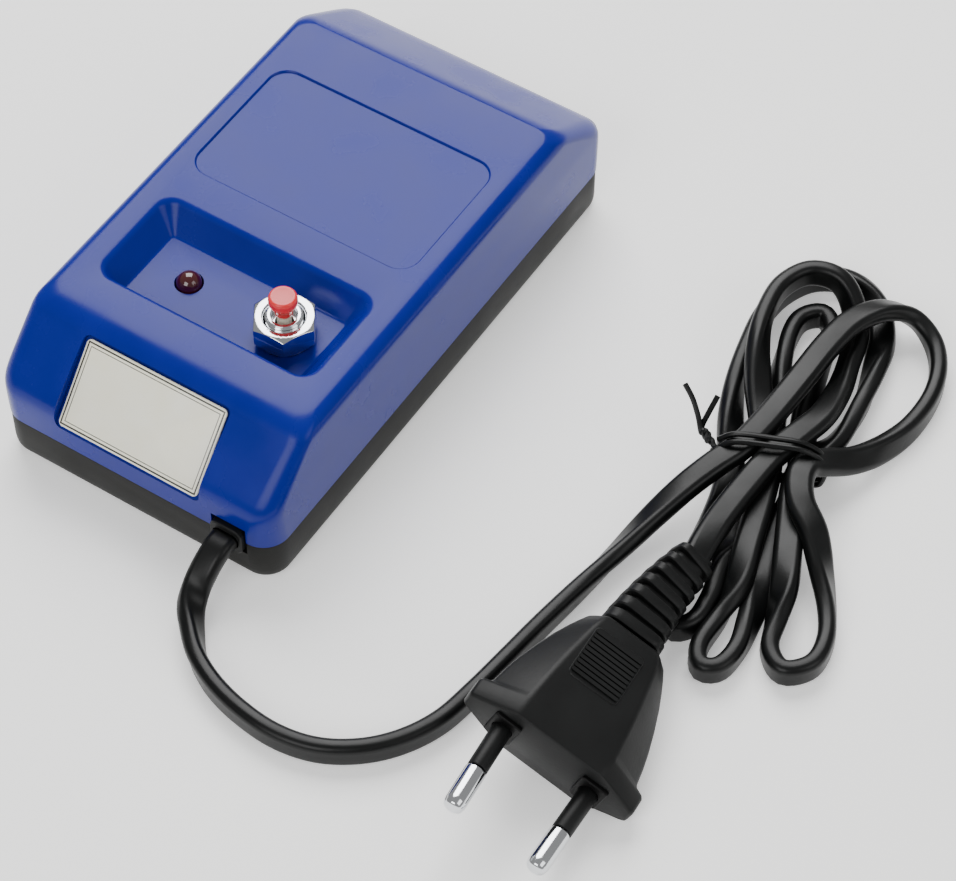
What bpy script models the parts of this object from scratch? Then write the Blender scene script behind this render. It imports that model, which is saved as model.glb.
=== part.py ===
"""Watchmaker's bench demagnetizer: a two-part plastic case with an electromagnet under its working pad,
a push button and a lamp in a pocket, and a flat mains lead tied in a hank and ended by a two-pin plug.

Frame: metres, +X across the case, +Y towards its back, +Z up, origin on the bench under the case's centre.
"""

import math

import bmesh
import bpy
from mathutils import Matrix, Vector

MM = 0.001

# Case
BODY_LENGTH = 116.0 * MM
BODY_WIDTH = 62.5 * MM
BASE_DEPTH = 9.5 * MM  # side height of the base tray
TOP_DEPTH = 21.5 * MM  # height of the top shell, from the split to the working face
TOP_WALL = 2.2 * MM
ROOF = 2.2 * MM
BASE_FLOOR = 2.0 * MM
CORNER_RADIUS_LOW = 5.4 * MM
CORNER_RADIUS_HIGH = 3.2 * MM
SIDE_FILLET = 3.2 * MM
DRAFT = 0.25 * MM  # lean of the upright walls
FRONT_RIDGE_SETBACK = 17.6 * MM
FRONT_RIDGE_RADIUS = 8.6 * MM
FRONT_SLOPE = math.radians(42.0)
BACK_RIDGE_SETBACK = 17.2 * MM
BACK_SLOPE = math.radians(33.5)
LIP_HEIGHT = 2.0 * MM
LIP_THICKNESS = 1.0 * MM
GAP = 0.3 * MM  # clearance between pieces that meet

# Feet
FOOT_DROP = 1.2 * MM
FOOT_RADIUS = 4.0 * MM
FOOT_SEAT = 0.8 * MM
FOOT_INSET_X = 8.0 * MM
FOOT_INSET_Y = 20.5 * MM

# Case screws and the columns that they pull together
CASE_SCREW_INSET_X = 7.0 * MM
CASE_SCREW_INSET_FRONT = 17.4 * MM
CASE_SCREW_INSET_BACK = 9.6 * MM
COLUMN_RADIUS = 3.0 * MM
HEAD_BOSS_RADIUS = 3.9 * MM
SCREW_RADIUS = 1.3 * MM
SCREW_HEAD_RADIUS = 2.6 * MM
SCREW_HEAD_HEIGHT = 1.7 * MM
CASE_SCREW_LENGTH = 14.0 * MM
SMALL_SCREW_RADIUS = 1.0 * MM
SMALL_SCREW_HEAD_RADIUS = 2.0 * MM

# Working pad and pocket
PAD_MARGIN = 6.35 * MM  # from the case's side
PAD_LENGTH = 30.9 * MM
PAD_CENTRE_Y = 11.8 * MM
PAD_CORNER = 4.0 * MM
PAD_DEPTH = 0.4 * MM
POCKET_MARGIN = 7.35 * MM
POCKET_FRONT_Y = -34.0 * MM
POCKET_BACK_Y = -11.9 * MM
POCKET_DEPTH = 5.5 * MM
POCKET_TAPER = 4.0 * MM  # how far the side and back walls lean in
POCKET_FRONT_TAPER = 1.4 * MM
POCKET_CORNER = 3.4 * MM
POCKET_WALL = 2.0 * MM
CONTROL_Y = -24.3 * MM  # the button's axis
LAMP_Y = -23.6 * MM
LAMP_INSET = 9.3 * MM  # from the pocket floor's left edge
BUTTON_INSET = 8.1 * MM  # from its right edge

# Rating plate on its flat facet
PLATE_X = -1.0 * MM
PLATE_WIDTH = 31.4 * MM
PLATE_HEIGHT = 17.6 * MM
PLATE_THICKNESS = 0.5 * MM
PLATE_TILT = math.radians(49.0)
PLATE_SETBACK = 6.7 * MM  # centre behind the case's front
PLATE_DROP = 9.7 * MM  # centre below the working face
FACET_MARGIN = 0.7 * MM

# Lamp
LED_RADIUS = 2.5 * MM
LED_SHANK = 5.1 * MM
LED_FLANGE_RADIUS = 2.9 * MM
LED_FLANGE_HEIGHT = 1.0 * MM
LED_SINK = 0.2 * MM  # dome centre below the pocket floor
LED_COLLAR_RADIUS = 4.2 * MM
LEAD_RADIUS = 0.3 * MM
DIODE_RADIUS = 1.3 * MM
RESISTOR_RADIUS = 1.2 * MM

# Push button
BUTTON_TRAVEL = 1.5 * MM
BUSH_RADIUS = 3.6 * MM
BUSH_FLANGE_RADIUS = 5.6 * MM
BUSH_FLANGE_HEIGHT = 1.8 * MM
BUSH_RISE = 6.3 * MM  # thread's end above the pocket floor
BUSH_MOUTH_RADIUS = 2.5 * MM
BUSH_MOUTH_DEPTH = 2.0 * MM
NUT_ACROSS_FLATS = 11.2 * MM
NUT_HEIGHT = 4.8 * MM
WASHER_RADIUS = 5.3 * MM
WASHER_THICKNESS = 0.4 * MM
CAP_RADIUS = 2.75 * MM
CAP_NECK_RADIUS = 1.6 * MM
CAP_HEIGHT = 4.9 * MM
CAP_RIM_HEIGHT = 1.9 * MM
PLUNGER_RADIUS = 1.4 * MM
PLUNGER_ROD_RADIUS = 0.9 * MM
PLUNGER_COLLAR_RADIUS = 2.6 * MM
PLUNGER_COLLAR_HEIGHT = 0.8 * MM
SWITCH_RADIUS = 5.3 * MM
SWITCH_BORE = 3.4 * MM
SWITCH_HEIGHT = 12.3 * MM
SWITCH_FLOOR = 1.8 * MM
SWITCH_SHELF = 0.8 * MM
SPRING_RADIUS = 1.7 * MM
SPRING_WIRE_RADIUS = 0.22 * MM
SPRING_TURNS = 3
SPRING_LENGTH = 2.9 * MM
CONTACT_THICKNESS = 0.7 * MM
TERMINAL_OFFSET = 2.4 * MM
TERMINAL_WIDTH = 2.0 * MM
TERMINAL_THICKNESS = 0.6 * MM
TERMINAL_TAIL = 4.4 * MM

# Electromagnet
CORE_MARGIN = 11.25 * MM  # from the case's side to the core's
CORE_STACK = 16.0 * MM
CORE_HALF_LEG = 5.0 * MM
CORE_SIDE_LEG = 4.5 * MM
CORE_BAR = 7.0 * MM
CORE_BOTTOM_Z = 6.2 * MM
CORE_ROOF_GAP = 0.8 * MM
BOBBIN_WALL = 1.0 * MM
WINDING_CLEARANCE = 0.8 * MM  # from the coil's flanges to the core's side legs
WRAP_THICKNESS = 0.4 * MM
FRAME_SHEET = 1.0 * MM
FRAME_WIDTH = 10.0 * MM
FRAME_FOOT_Z = 8.0 * MM
CORE_SCREW_LENGTH = 4.2 * MM
BOSS_RADIUS = 2.6 * MM
TAG_X = 6.5 * MM
TAG_WIDTH = 1.4 * MM
TAG_THICKNESS = 0.5 * MM
TAG_HEIGHT = 5.0 * MM

# Mains lead
CORD_RADIUS = 2.2 * MM
CORD_EXIT_INSET = 9.55 * MM  # from the case's right side
CORD_EXIT_Z = 10.7 * MM
GROMMET_HALF_WIDTH = 3.5 * MM
GROMMET_HALF_HEIGHT = 3.3 * MM
GROMMET_PROUD = 0.7 * MM
GROMMET_FLANGE = 1.2 * MM
FLANGE_RISE = 1.0 * MM
CLAMP_X = 8.0 * MM
CLAMP_SETBACK = 11.0 * MM  # clamp line behind the case's front
CLAMP_SPACING = 10.4 * MM
CLAMP_BAR_WIDTH = 5.0 * MM
CLAMP_BAR_THICKNESS = 1.8 * MM
CLAMP_BOSS_Z = 10.2 * MM
CLAMP_SCREW_LENGTH = 6.0 * MM
WIRE_RADIUS = 0.9 * MM
LAMP_WIRE_RADIUS = 0.6 * MM
ROUTE_STEP = 8.0 * MM
CORD_STRAIGHT = 2.2 * MM  # straight out of the grommet
HANK_BOTTOM_Z = 1.9 * MM
HANK_HEIGHT = 10.8 * MM
TIE_RADIUS = 0.7 * MM

# Two-pin plug, in its own frame: y runs from the front face to the lead
PLUG_OFFSET = Vector((73.8, -7.4, 9.9)) * MM  # front face's centre from the lead's exit, z from the bench
PLUG_YAW = math.radians(3.0)
PLUG_NOSE_UP = math.radians(1.2)
PLUG_ROLL = math.radians(21.5)  # its left edge lies up on the lead
PIN_RADIUS = 2.0 * MM
PIN_LENGTH = 19.0 * MM
PIN_SPACING = 18.6 * MM
PIN_TOE_IN = math.radians(1.66)
PIN_CORE_RADIUS = 1.2 * MM
PIN_ROOT = 5.5 * MM
SLEEVE_LENGTH = 10.0 * MM
SLEEVE_RADIUS = 1.9 * MM
RELIEF_GROOVES = 6
RELIEF_START = 28.2  # millimetres, as all of the plug's sections
RELIEF_PITCH = 4.0
RELIEF_BEND = 0.0045

# Worked out from the sizes above
HALF_LENGTH = BODY_LENGTH / 2
HALF_WIDTH = BODY_WIDTH / 2
SPLIT_Z = FOOT_DROP + BASE_DEPTH
TOP_Z = SPLIT_Z + TOP_DEPTH
FLOOR_Z = FOOT_DROP + BASE_FLOOR
FRONT_RIDGE_Y = FRONT_RIDGE_SETBACK - HALF_LENGTH
BACK_RIDGE_Y = HALF_LENGTH - BACK_RIDGE_SETBACK
FRONT_ARC_Y = FRONT_RIDGE_Y - FRONT_RIDGE_RADIUS * math.sin(FRONT_SLOPE)
FRONT_ARC_Z = TOP_Z - FRONT_RIDGE_RADIUS * (1 - math.cos(FRONT_SLOPE))
FRONT_FOLD_Y = DRAFT - HALF_LENGTH
FRONT_FOLD_Z = FRONT_ARC_Z - (FRONT_ARC_Y - FRONT_FOLD_Y) * math.tan(FRONT_SLOPE)
BACK_FOLD_Y = HALF_LENGTH - DRAFT
BACK_FOLD_Z = TOP_Z - (BACK_FOLD_Y - BACK_RIDGE_Y) * math.tan(BACK_SLOPE)
POCKET_FLOOR_Z = TOP_Z - POCKET_DEPTH
PANEL_UNDER_Z = POCKET_FLOOR_Z - POCKET_WALL
PAD_HALF_WIDTH = HALF_WIDTH - PAD_MARGIN
POCKET_HALF_WIDTH = HALF_WIDTH - POCKET_MARGIN
LAMP_X = LAMP_INSET - (POCKET_HALF_WIDTH - POCKET_TAPER)
BUTTON_X = POCKET_HALF_WIDTH - POCKET_TAPER - BUTTON_INSET
CORE_HALF_WIDTH = HALF_WIDTH - CORE_MARGIN
WINDOW_WIDTH = CORE_HALF_WIDTH - CORE_SIDE_LEG - CORE_HALF_LEG
FLANGE_DEPTH = WINDOW_WIDTH - WINDING_CLEARANCE - BOBBIN_WALL - GAP
WINDING_DEPTH = FLANGE_DEPTH - 2 * GAP - WRAP_THICKNESS
LIP_INSET = TOP_WALL + GAP
TRAY_WALL = LIP_INSET + LIP_THICKNESS  # from the case's outline to the inside of the tray
CORD_EXIT_X = HALF_WIDTH - CORD_EXIT_INSET
CASE_SCREW_X = HALF_WIDTH - CASE_SCREW_INSET_X
CASE_SCREW_FRONT_Y = CASE_SCREW_INSET_FRONT - HALF_LENGTH
CASE_SCREW_BACK_Y = HALF_LENGTH - CASE_SCREW_INSET_BACK
CORD_EXIT = Vector((CORD_EXIT_X, -HALF_LENGTH - GROMMET_PROUD - GAP, CORD_EXIT_Z))
CLAMP_Y = CLAMP_SETBACK - HALF_LENGTH
FLANGE_Y = -HALF_LENGTH + TRAY_WALL + GAP  # front of the grommet's flange
CORE_TOP_Z = TOP_Z - ROOF - CORE_ROOF_GAP
CORE_BAR_TOP_Z = CORE_BOTTOM_Z + CORE_BAR
BUSH_FLANGE_TOP_Z = PANEL_UNDER_Z - GAP
BUSH_TOP_Z = POCKET_FLOOR_Z + BUSH_RISE
SWITCH_TOP_Z = BUSH_FLANGE_TOP_Z - BUSH_FLANGE_HEIGHT - GAP
SWITCH_BOTTOM_Z = SWITCH_TOP_Z - SWITCH_HEIGHT
CAP_BOTTOM_Z = BUSH_TOP_Z + GAP
PLUNGER_TOP_Z = CAP_BOTTOM_Z - GAP
COLLAR_TOP_Z = SWITCH_TOP_Z - GAP
COLLAR_BOTTOM_Z = COLLAR_TOP_Z - PLUNGER_COLLAR_HEIGHT
SHELF_TOP_Z = COLLAR_BOTTOM_Z - SPRING_LENGTH - 2 * GAP
SHELF_BOTTOM_Z = SHELF_TOP_Z - SWITCH_SHELF
CONTACT_TOP_Z = SHELF_BOTTOM_Z - GAP
CONTACT_BOTTOM_Z = CONTACT_TOP_Z - CONTACT_THICKNESS
TERMINAL_TOP_Z = CONTACT_BOTTOM_Z - BUTTON_TRAVEL - GAP
TERMINAL_BOTTOM_Z = SWITCH_BOTTOM_Z - TERMINAL_TAIL

# The lead's route, measured from its exit in X and Y and from the bench in Z
LEAD_POINTS = [
    (-0.4, -5.6, 8.4),
    (-0.4, -8.6, 4.6),
    (0.8, -12.0, 2.7),
    (3.0, -15.0, 2.6),
    (7.4, -19.6, 2.6),
    (13.6, -23.0, 2.6),
    (21.0, -25.0, 2.6),
    (29.0, -25.6, 2.6),
    (36.6, -24.0, 2.6),
    (43.2, -20.0, 2.6),
    (48.2, -14.4, 2.6),
    (51.6, -7.4, 2.6),
    (53.2, 1.0, 2.6),
    (54.4, 10.2, 2.6),
    (55.6, 20.2, 2.6),
    (57.2, 31.0, 2.6),
    (59.4, 41.6, 3.2),
    (61.8, 50.6, 4.2),
    (63.9, 56.6, 5.0),
]
HANK_OUTLINE = [
    (66.2, 66.6),
    (61.6, 78.0),
    (54.0, 91.0),
    (53.0, 104.0),
    (57.6, 115.0),
    (68.0, 121.0),
    (78.6, 122.0),
    (88.4, 117.6),
    (93.6, 106.0),
    (92.6, 93.0),
    (88.6, 80.4),
    (85.6, 71.6),
    (91.4, 62.0),
    (99.6, 50.6),
    (104.0, 39.0),
    (101.4, 30.4),
    (92.0, 25.4),
    (82.6, 28.6),
    (79.4, 38.0),
    (78.8, 47.4),
    (73.0, 55.0),
    (66.6, 58.8),
]
TAIL_POINTS = [(72.0, 44.9, 9.7), (72.0, 48.4, 9.7), (72.1, 52.8, 9.9)]
TIE_POINTS = [
    (50.6, 75.6, 10.8),
    (54.6, 72.6, 9.4),
    (59.6, 69.4, 9.0),
    (62.6, 68.4, 11.6),
    (66.2, 68.4, 13.9),
    (76.0, 70.4, 14.2),
    (84.8, 72.0, 13.9),
    (88.6, 72.9, 10.6),
    (88.6, 72.9, 5.4),
    (85.6, 72.3, 0.75),
    (76.0, 70.8, 0.75),
    (65.6, 68.2, 0.75),
    (62.0, 66.8, 3.6),
    (59.8, 67.4, 6.0),
    (57.6, 71.0, 7.2),
    (56.8, 74.8, 8.6),
    (57.8, 78.6, 10.8),
]


for old in list(bpy.data.objects):
    bpy.data.objects.remove(old)

parts = bpy.data.collections.new("demagnetizer")
cutters = bpy.data.collections.new("cutters")
bpy.context.scene.collection.children.link(parts)
bpy.context.scene.collection.children.link(cutters)


def material(name, colour, roughness, metallic=0.0, alpha=1.0):
    made = bpy.data.materials.new(name)
    made.use_nodes = True
    shader = made.node_tree.nodes["Principled BSDF"]
    shader.inputs["Base Color"].default_value = (*colour, 1.0)
    shader.inputs["Roughness"].default_value = roughness
    shader.inputs["Metallic"].default_value = metallic
    shader.inputs["Alpha"].default_value = alpha
    return made


BLUE_ABS = material("blue_abs", (0.02, 0.045, 0.30), 0.3)
BLACK_ABS = material("charcoal_abs", (0.03, 0.03, 0.028), 0.5)
CREAM_FOIL = material("cream_foil", (0.93, 0.90, 0.72), 0.45)
RUBBER = material("black_rubber", (0.015, 0.015, 0.015), 0.8)
ZINC_STEEL = material("zinc_steel", (0.55, 0.55, 0.57), 0.35, 1.0)
CHROME = material("chrome", (0.75, 0.75, 0.77), 0.12, 1.0)
RED_ABS = material("red_abs", (0.70, 0.03, 0.03), 0.35)
RED_EPOXY = material("red_epoxy", (0.25, 0.01, 0.015), 0.1, 0.0, 0.9)
BRASS = material("brass", (0.70, 0.50, 0.20), 0.3, 1.0)
CORE_STEEL = material("silicon_steel", (0.20, 0.20, 0.21), 0.5, 1.0)
BOBBIN_NYLON = material("bobbin_nylon", (0.80, 0.78, 0.70), 0.5)
COPPER = material("enamelled_copper", (0.60, 0.22, 0.08), 0.3, 1.0)
YELLOW_TAPE = material("yellow_tape", (0.80, 0.60, 0.08), 0.4)
BROWN_PVC = material("brown_pvc", (0.15, 0.06, 0.03), 0.45)
BLUE_PVC = material("blue_pvc", (0.03, 0.12, 0.45), 0.45)
RED_PVC = material("red_pvc", (0.50, 0.03, 0.03), 0.45)
BLACK_PVC = material("black_pvc", (0.02, 0.022, 0.022), 0.4)
RESISTOR_CERAMIC = material("resistor_ceramic", (0.50, 0.40, 0.28), 0.6)


# ---- Shape helpers


def keep(obj, finish=None):
    """Puts a finished piece among the parts, or a cutter among the cutters when it has no finish."""
    for collection in obj.users_collection:
        collection.objects.unlink(obj)
    if finish is None:
        cutters.objects.link(obj)
        obj.hide_render = True
        obj.display_type = "WIRE"
        return obj
    parts.objects.link(obj)
    obj.data.materials.clear()
    obj.data.materials.append(finish)
    return obj


def mesh_object(name, bm, finish=None):
    mesh = bpy.data.meshes.new(name)
    bm.to_mesh(mesh)
    bm.free()
    return keep_linked(bpy.data.objects.new(name, mesh), finish)


def keep_linked(obj, finish):
    bpy.context.scene.collection.objects.link(obj)
    return keep(obj, finish)


def cut(target, cutter, operation="DIFFERENCE"):
    boolean = target.modifiers.new(cutter.name, "BOOLEAN")
    boolean.object = cutter
    boolean.operation = operation
    boolean.solver = "EXACT"
    return target


def box(name, low, high, finish=None):
    low, high = Vector(low), Vector(high)
    bm = bmesh.new()
    bmesh.ops.create_cube(bm, size=1.0)
    bmesh.ops.scale(bm, vec=high - low, verts=bm.verts)
    bmesh.ops.translate(bm, vec=(high + low) / 2, verts=bm.verts)
    return mesh_object(name, bm, finish)


def cylinder(name, x, y, low, high, radius, finish=None, sides=20):
    bm = bmesh.new()
    bmesh.ops.create_cone(
        bm, cap_ends=True, segments=sides, radius1=radius, radius2=radius, depth=high - low
    )
    bmesh.ops.translate(bm, vec=(x, y, (low + high) / 2), verts=bm.verts)
    return mesh_object(name, bm, finish)


def turned(name, profile, x, y, finish=None, steps=20):
    """A turned piece about a vertical axis. The profile is (radius, height), from its top down its outside."""
    bm = bmesh.new()
    points = [bm.verts.new((radius, 0, height)) for radius, height in profile]
    for above, below in zip(points, points[1:]):
        bm.edges.new((above, below))
    if profile[0][0] > 0:
        bm.edges.new((points[-1], points[0]))
    obj = mesh_object(name, bm, finish)
    obj.location = (x, y, 0)
    screw = obj.modifiers.new("turn", "SCREW")
    screw.steps = steps
    screw.render_steps = steps
    screw.use_merge_vertices = True
    screw.merge_threshold = 0.00001
    screw.use_normal_calculate = False
    return obj


def ring(x_low, x_high, y_low, y_high, radius, z, steps=5):
    """One level of a loft: a rectangle with round corners, anticlockwise from above."""
    radius = max(0.0002, min(radius, (x_high - x_low) / 2.02, (y_high - y_low) / 2.02))
    corners = [
        (x_high - radius, y_high - radius),
        (x_low + radius, y_high - radius),
        (x_low + radius, y_low + radius),
        (x_high - radius, y_low + radius),
    ]
    points = []
    for quarter, (cx, cy) in enumerate(corners):
        for step in range(steps + 1):
            angle = (quarter + step / steps) * math.pi / 2
            points.append(Vector((cx + radius * math.cos(angle), cy + radius * math.sin(angle), z)))
    return points


def loft(name, rings, finish=None):
    bm = bmesh.new()
    levels = [[bm.verts.new(point) for point in level] for level in rings]
    for lower, upper in zip(levels, levels[1:]):
        for i in range(len(lower)):
            j = (i + 1) % len(lower)
            bm.faces.new((lower[i], lower[j], upper[j], upper[i]))
    bm.faces.new(list(reversed(levels[0])))
    bm.faces.new(levels[-1])
    return mesh_object(name, bm, finish)


def smooth_route(points, step, closed=False):
    """Points a step apart on a smooth curve through the given ones."""
    through = [Vector(point) for point in points]
    count = len(through)
    fine = []
    for i in range(count if closed else count - 1):
        if closed:
            p0, p1, p2, p3 = (through[(i + k) % count] for k in (-1, 0, 1, 2))
        else:
            p1, p2 = through[i], through[i + 1]
            p0 = through[i - 1] if i > 0 else 2 * p1 - p2
            p3 = through[i + 2] if i + 2 < count else 2 * p2 - p1
        for k in range(8):
            t = k / 8
            fine.append(
                0.5
                * (
                    2 * p1
                    + (p2 - p0) * t
                    + (2 * p0 - 5 * p1 + 4 * p2 - p3) * t * t
                    + (3 * p1 - p0 - 3 * p2 + p3) * t**3
                )
            )
    fine.append(through[0].copy() if closed else through[-1])
    length = sum((b - a).length for a, b in zip(fine, fine[1:]))
    pieces = max(2, round(length / step))
    wanted = [length * k / pieces for k in range(pieces + 1)]
    found, run = [], 0.0
    for a, b in zip(fine, fine[1:]):
        stretch = (b - a).length
        while len(found) < len(wanted) and wanted[len(found)] <= run + stretch + 1e-12:
            share = (wanted[len(found)] - run) / stretch if stretch else 0.0
            found.append(a.lerp(b, share))
        run += stretch
    if len(found) < len(wanted):
        found.append(fine[-1])
    return found[:-1] if closed else found


def tube(name, points, radius, finish, step=None, sides=2):
    """A cord or a wire through the points, on one smooth curve."""
    curve = bpy.data.curves.new(name, "CURVE")
    curve.dimensions = "3D"
    curve.bevel_depth = radius
    curve.bevel_resolution = sides
    curve.use_fill_caps = True
    route = smooth_route(points, step) if step else [Vector(point) for point in points]
    spline = curve.splines.new("POLY")
    spline.points.add(len(route) - 1)
    for point, place in zip(spline.points, route):
        point.co = (*place, 1.0)
    return keep_linked(bpy.data.objects.new(name, curve), finish)


def flat_outline(name, loops, thickness, finish, upright=False):
    """A flat plate from closed outlines, the later ones holes. It lies in XY, or stands in XZ when upright."""
    curve = bpy.data.curves.new(name, "CURVE")
    curve.dimensions = "2D"
    curve.fill_mode = "BOTH"
    curve.extrude = thickness / 2
    for loop in loops:
        spline = curve.splines.new("POLY")
        spline.points.add(len(loop) - 1)
        spline.use_cyclic_u = True
        for point, place in zip(spline.points, loop):
            point.co = (place[0], place[1], 0.0, 1.0)
    obj = keep_linked(bpy.data.objects.new(name, curve), finish)
    if upright:
        obj.rotation_euler = (math.pi / 2, 0, 0)
    return obj


def as_mesh(obj):
    """The curve made a mesh with its caps welded, so that it can be cut."""
    bpy.context.view_layer.update()
    graph = bpy.context.evaluated_depsgraph_get()
    mesh = bpy.data.meshes.new_from_object(obj.evaluated_get(graph))
    bm = bmesh.new()
    bm.from_mesh(mesh)
    bmesh.ops.remove_doubles(bm, verts=bm.verts, dist=0.00001)
    bmesh.ops.recalc_face_normals(bm, faces=bm.faces)
    bm.to_mesh(mesh)
    bm.free()
    name, finish, place = obj.name, obj.data.materials[0], obj.matrix_world.copy()
    bpy.data.objects.remove(obj)
    made = keep_linked(bpy.data.objects.new(name, mesh), finish)
    made.matrix_world = place
    return made


def from_exit(points):
    """Points given in millimetres from the lead's exit, and from the bench in Z."""
    made = []
    for point in points:
        z = point[2] * MM if len(point) > 2 else 0.0
        made.append(Vector((CORD_EXIT.x + point[0] * MM, CORD_EXIT.y + point[1] * MM, z)))
    return made


def screw_piece(name, x, y, head_z, length, shank, head, upwards):
    """A pan-head screw with a cross recess. head_z is the head's seat, and the shank runs away from it."""
    way = 1 if upwards else -1
    height = SCREW_HEAD_HEIGHT * head / SCREW_HEAD_RADIUS
    profile = [
        (0, way * length),
        (shank * 0.4, way * length),
        (shank, way * (length - shank)),
        (shank, 0),
        (head, 0),
        (head, -way * height * 0.4),
        (head * 0.75, -way * height * 0.9),
        (0, -way * height),
    ]
    if not upwards:
        profile.reverse()
    obj = turned(name, profile, x, y, ZINC_STEEL, steps=12)
    obj.location.z = head_z
    arm, slot = head * 0.62, head * 0.13
    top, bottom = head_z - way * height * 1.5, head_z - way * height * 0.35
    low, high = min(top, bottom), max(top, bottom)
    for label, half_x, half_y in (("a", arm, slot), ("b", slot, arm)):
        recess = box(
            f"{name}_recess_{label}", (x - half_x, y - half_y, low), (x + half_x, y + half_y, high)
        )
        cut(obj, recess)
    return obj


# ---- Case outline


def front_y(z):
    if z <= FRONT_FOLD_Z:
        return -HALF_LENGTH + DRAFT * max(0.0, z - SPLIT_Z) / (FRONT_FOLD_Z - SPLIT_Z)
    if z < FRONT_ARC_Z:
        return FRONT_FOLD_Y + (z - FRONT_FOLD_Z) / math.tan(FRONT_SLOPE)
    rise = max(0.0, FRONT_RIDGE_RADIUS - (TOP_Z - z))
    return FRONT_RIDGE_Y - math.sqrt(max(0.0, FRONT_RIDGE_RADIUS**2 - rise**2))


def back_y(z):
    if z <= BACK_FOLD_Z:
        return HALF_LENGTH - DRAFT * max(0.0, z - SPLIT_Z) / (BACK_FOLD_Z - SPLIT_Z)
    return BACK_FOLD_Y - (z - BACK_FOLD_Z) / math.tan(BACK_SLOPE)


def side_x(z):
    start = TOP_Z - SIDE_FILLET
    if z <= start:
        return HALF_WIDTH - DRAFT * max(0.0, z - SPLIT_Z) / (start - SPLIT_Z)
    return HALF_WIDTH - DRAFT - SIDE_FILLET + math.sqrt(max(0.0, SIDE_FILLET**2 - (z - start) ** 2))


def corner_radius(z):
    share = max(0.0, min(1.0, (z - SPLIT_Z) / (TOP_Z - SPLIT_Z)))
    return CORNER_RADIUS_LOW + (CORNER_RADIUS_HIGH - CORNER_RADIUS_LOW) * share


def case_ring(z, inset=0.0, at=None):
    """The case's outline at one height, drawn in by inset, and put at another height if that is given."""
    return ring(
        -side_x(z) + inset,
        side_x(z) - inset,
        front_y(z) + inset,
        back_y(z) - inset,
        corner_radius(z) - inset,
        z if at is None else at,
    )


def case_levels(top):
    """Heights of the case's rings from the split up to top, closer together where it curves."""
    heights = {SPLIT_Z, FRONT_FOLD_Z, BACK_FOLD_Z, FRONT_ARC_Z, TOP_Z - SIDE_FILLET, TOP_Z}
    for step in (20, 40, 60, 75):
        heights.add(TOP_Z - SIDE_FILLET * (1 - math.sin(math.radians(step))))
    return [height for height in sorted(heights) if height < top - GAP] + [top]


def facet_point(along, across, out):
    """A point from the rating plate's centre: up its facet, across it, and out from it."""
    up = Vector((0, math.cos(PLATE_TILT), math.sin(PLATE_TILT)))
    normal = Vector((0, -math.sin(PLATE_TILT), math.cos(PLATE_TILT)))
    centre = Vector((PLATE_X, PLATE_SETBACK - HALF_LENGTH, TOP_Z - PLATE_DROP))
    return centre + up * along + Vector((1, 0, 0)) * across + normal * out


def facet_box(name, half_up, half_across, low, high, finish=None, shift=0.0):
    """A box on the rating plate's facet, low to high out from its plane."""
    obj = box(name, (-half_across, -half_up, low), (half_across, half_up, high), finish)
    obj.location = facet_point(shift, 0, 0)
    obj.rotation_euler = (PLATE_TILT, 0, 0)
    return obj


def case_screw_places():
    for label, y in (("front", CASE_SCREW_FRONT_Y), ("back", CASE_SCREW_BACK_Y)):
        for side, x in (("left", -CASE_SCREW_X), ("right", CASE_SCREW_X)):
            yield f"{label}_{side}", x, y


# ---- Case


def pocket_ring(z, grow=0.0):
    rise = (z - POCKET_FLOOR_Z) / POCKET_DEPTH
    side = POCKET_HALF_WIDTH - POCKET_TAPER * (1 - rise) + grow
    front = POCKET_FRONT_Y + POCKET_FRONT_TAPER * (1 - rise) - grow
    back = POCKET_BACK_Y - POCKET_TAPER * (1 - rise) + grow
    return ring(-side, side, front, back, 0.8 * MM + (POCKET_CORNER - 0.8 * MM) * rise + grow, z, 3)


def cut_grommet_opening(shell, name):
    """The notch that both shells leave for the lead's grommet, wider behind for its flange."""
    for part, grow, front, back in (
        ("notch", 0.0, -HALF_LENGTH - 5 * MM, FLANGE_Y),
        ("recess", FLANGE_RISE, FLANGE_Y - GAP, FLANGE_Y + GROMMET_FLANGE + GAP),
    ):
        half_x = GROMMET_HALF_WIDTH + grow + GAP
        half_z = GROMMET_HALF_HEIGHT + grow + GAP
        low = (CORD_EXIT_X - half_x, front, CORD_EXIT_Z - half_z)
        high = (CORD_EXIT_X + half_x, back, CORD_EXIT_Z + half_z)
        cut(shell, box(f"{name}_{part}", low, high))


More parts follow.
